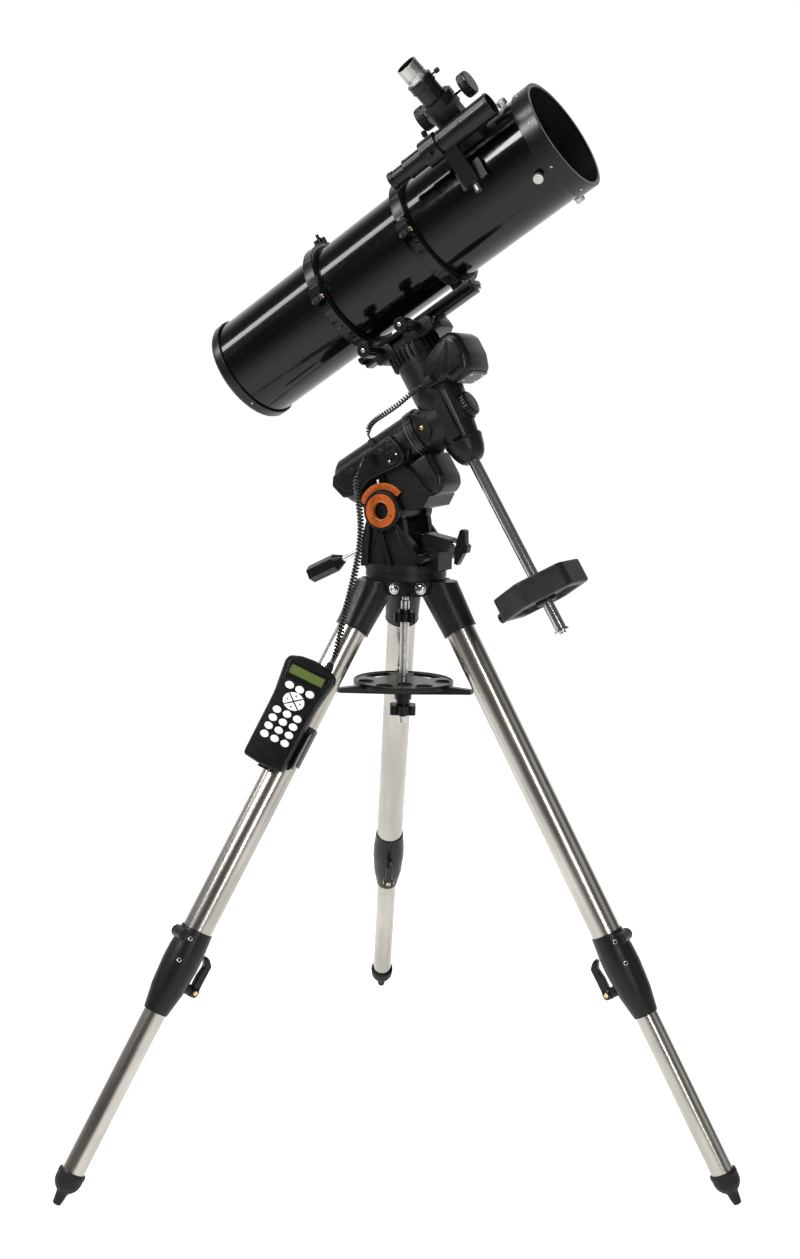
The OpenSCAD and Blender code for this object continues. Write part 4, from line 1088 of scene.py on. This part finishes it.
screen = slab([(-30, 63.5), (30, 63.5), (30, 78.5), (-30, 78.5)], 0.6, 0.5, 1.1, 0.05, 0.1)
piece("display_screen", screen, CONTROL @ FACE, DISPLAY, "hand_control")


def oval(across, up, count=32):
    return [Vector((across * math.cos(2 * math.pi * k / count), up * math.sin(2 * math.pi * k / count)))
            for k in range(count)]


# Keys, and under each a near-black well a little wider than the key: painted shade in the gap around it
keys, wells = [], []
for z, r in [(45, 1.04)] + [(-0.5 - 15 * n, 1.0) for n in range(4)]:
    for column in (-1, 0, 1):
        at = move(column * 19, z, 0)
        keys.append((pillow_mesh(oval(7.4 * r, 5.9 * r), -0.5, 2.4, 0.1, 1.3), at))
        wells.append((pillow_mesh(oval(8.1 * r, 6.6 * r), -0.5, 0.62, 0.1, 0.1), at))


def quadrant(direction, across=18.2, up=14.2, gap=1.4):
    """One quarter of the oval arrow pad, between two diagonal gaps."""
    outline = []
    for k in range(17):
        a = math.radians(direction - 45 + 90 * k / 16)
        outline.append(Vector((across * math.cos(a), up * math.sin(a))))
    out = Vector((math.cos(math.radians(direction)), math.sin(math.radians(direction))))
    shift = out * gap
    return [Vector((0, 0)) + shift * 1.2] + [p * 0.97 + shift * 0.9 for p in outline]


arrows = []
for k in range(4):
    keys.append((pillow_mesh(quadrant(90 * k), -0.5, 2.3, 0.1, 0.9), move(0, 23, 0)))
    out = Vector((math.cos(math.pi / 2 * k), math.sin(math.pi / 2 * k)))
    reach = 12 if k % 2 == 0 else 9.6
    side = Vector((-out.y, out.x))
    tip = [out * (reach + 2.2), out * (reach - 1.2) + side * 2, out * (reach - 1.2) - side * 2]
    arrows.append((pillow_mesh(tip, 1.8, 2.45, 0.02, 0.05), move(0, 23, 0)))
wells.append((pillow_mesh(oval(19.8, 15.6, 48), -0.5, 0.6, 0.1, 0.1), move(0, 23, 0)))
piece("control_keys", joined(*keys), CONTROL @ FACE, KEYS, "keypad", "keypad")
piece("arrow_marks", joined(*arrows), CONTROL @ FACE, SHADE_AND_MARK_BLACK, "keypad")
piece("key_well_shade", joined(*wells), CONTROL @ FACE, SHADE_AND_MARK_BLACK, "hand_control")
boot = lathe_mesh([(0, 0), (8.2, 0), (8.6, 2), (7.6, 4), (8.2, 6), (7.2, 8), (7.8, 10), (6.6, 12), (7, 14),
                   (5.6, 17), (0, 17.4)], 32)
piece("control_cord_boot", boot, CONTROL @ move(-12, 24, 92), RUBBER, "hand_control")
boot = lathe_mesh([(0, 0), (6.4, 0), (6.8, 1.5), (6.8, 9), (5.6, 12), (4.6, 15), (0, 15)], 32)
piece("cord_jack_0", boot, frame_of(Vector((-39, -66, 1198.5)) * MM, (0, -1, -0.12), (0, 0, 1)), RUBBER,
      "polar")

# ---- cradle of the hand control ----

cradle = joined(
    (slab([(-29, -82), (40, -82), (45.5, -70), (45.5, -14), (40, -4), (10, -2), (-20, -12)], 5,
          -29, -25, 1, 1), FACE),
    (slab([(-29, -78), (-12, -74), (-9, -60), (-12, -16), (-29, -6)], [4, 5, 8, 5, 4],
          -47, -43, 1.2, 1.2), turn(90, "X")),
    (slab([(-9, -95), (9, -95), (12, -80), (-12, -80)], 3, -29, -25.2, 1, 1), FACE),
    (slab([(-9, -97), (9, -97), (9, -93.6), (-9, -93.6)], 1, -28, -16, 0.8, 0.8), FACE))
piece("cradle_shell", cradle, CONTROL, PLASTIC, "leg_3", "control_cradle")
sleeve = []
for k in range(29):
    a = math.radians(-146 + 292 * k / 28)
    sleeve.append(Vector((26.6 * math.cos(a), 26.6 * math.sin(a))))
sleeve = sleeve + [p * (22.7 / 26.6) for p in reversed(sleeve)]
clip = joined((pillow_mesh(sleeve, -70, 0, 0.5, 0.5), Matrix()),
              (slab([(22, -17), (35, -15), (35, 13), (22, 17)], 3, -66, -4, 1.5, 1.5), Matrix()),
              (box_mesh((9, 3, 70), 1), move(-22, 17.5, -35) @ turn(20, "Z")),
              (box_mesh((9, 3, 70), 1), move(-22, -17.5, -35) @ turn(-20, "Z")))
piece("cradle_clip", clip, CLIP, PLASTIC, "leg_3")
screw("cradle_clip_screw", CLIP @ move(-20, -19.6, -35) @ turn(90, "X"), 3, 1.6, STEEL, "leg_3")

# ---- floor and lights ----


# Direction of the white backdrop, and the background's strength on the camera's side and behind
BACKDROP_SIDE = (-0.47, 0.85, -0.25)
DIM_SIDE, BRIGHT_SIDE = 0.10, 1.05


def make_floor():
    mesh = bpy.data.meshes.new("floor")
    size = 8.0
    mesh.from_pydata([(-size, -size, 0), (size, -size, 0), (size, size, 0), (-size, size, 0)], [],
                     [(0, 1, 2, 3)])
    floor = bpy.data.objects.new("floor", mesh)
    bpy.context.scene.collection.objects.link(floor)
    s = Shader("pale_floor")
    s.link(s.colours(s.noise(3, 2), [(0.3, (0.55, 0.55, 0.55)), (0.7, (0.57, 0.57, 0.57))]),
           s.bsdf.inputs["Base Color"])
    s.set(Roughness=0.8, Emission_Color=(1, 1, 1, 1), Specular_IOR_Level=0.1)
    split = s.node("ShaderNodeSeparateXYZ")
    s.link(s.place, split.inputs["Vector"])
    s.link(s.ramp(split.outputs["Y"], -2.5, -1.1, 0.12, 0.87), s.bsdf.inputs["Emission Strength"])
    mesh.materials.append(s.material)


def area_light(name, place, target, size, power, size_y=None, along=(1, 0, 0)):
    data = bpy.data.lights.new(name, "AREA")
    data.energy = power
    data.size = size
    if size_y:
        data.shape = "RECTANGLE"
        data.size_y = size_y
    light = bpy.data.objects.new(name, data)
    bpy.context.scene.collection.objects.link(light)
    light.matrix_world = frame_of(place, Vector(place) - Vector(target), along)


def make_light():
    """White studio: bright behind and at the sides, dim on the camera's side, with long soft strips."""
    world = bpy.data.worlds.new("studio")
    world.use_nodes = True
    nodes, links = world.node_tree.nodes, world.node_tree.links
    place = nodes.new("ShaderNodeTexCoord")
    ahead = nodes.new("ShaderNodeVectorMath")
    ahead.operation = "DOT_PRODUCT"
    ahead.inputs[1].default_value = BACKDROP_SIDE
    links.new(place.outputs["Generated"], ahead.inputs[0])
    fade = nodes.new("ShaderNodeMapRange")
    fade.interpolation_type = "SMOOTHSTEP"
    fade.inputs["From Min"].default_value = 0.22
    fade.inputs["From Max"].default_value = 0.80
    fade.inputs["To Min"].default_value = DIM_SIDE
    fade.inputs["To Max"].default_value = BRIGHT_SIDE
    links.new(ahead.outputs["Value"], fade.inputs["Value"])
    background = nodes["Background"]
    background.inputs["Color"].default_value = (1, 1, 1, 1)
    links.new(fade.outputs["Result"], background.inputs["Strength"])
    bpy.context.scene.world = world
    bpy.context.scene.view_settings.view_transform = "Standard"
    middle = (0, 0, 1.0)
    area_light("key", (-1.3, -2.9, 2.9), middle, size=0.9, power=80)
    area_light("right_panel", (3.2, 0.6, 1.4), middle, size=1.8, power=8, size_y=2.6, along=(0, 1, 0))
    area_light("left_panel", (-2.9, -1.6, 1.4), middle, size=1.8, power=3.5, size_y=2.6, along=(0, 1, 0))
    area_light("front_strip", (3.3, -3.1, 1.9), middle, size=0.42, power=60, size_y=2.4, along=(1, 1, 0))
    area_light("tube_strip", (-1.15, -1.3, 3.35), (0, 0, 1.53), size=4.2, power=85, size_y=0.5,
               along=(0.84, 0, 0.54))


make_floor()
make_light()
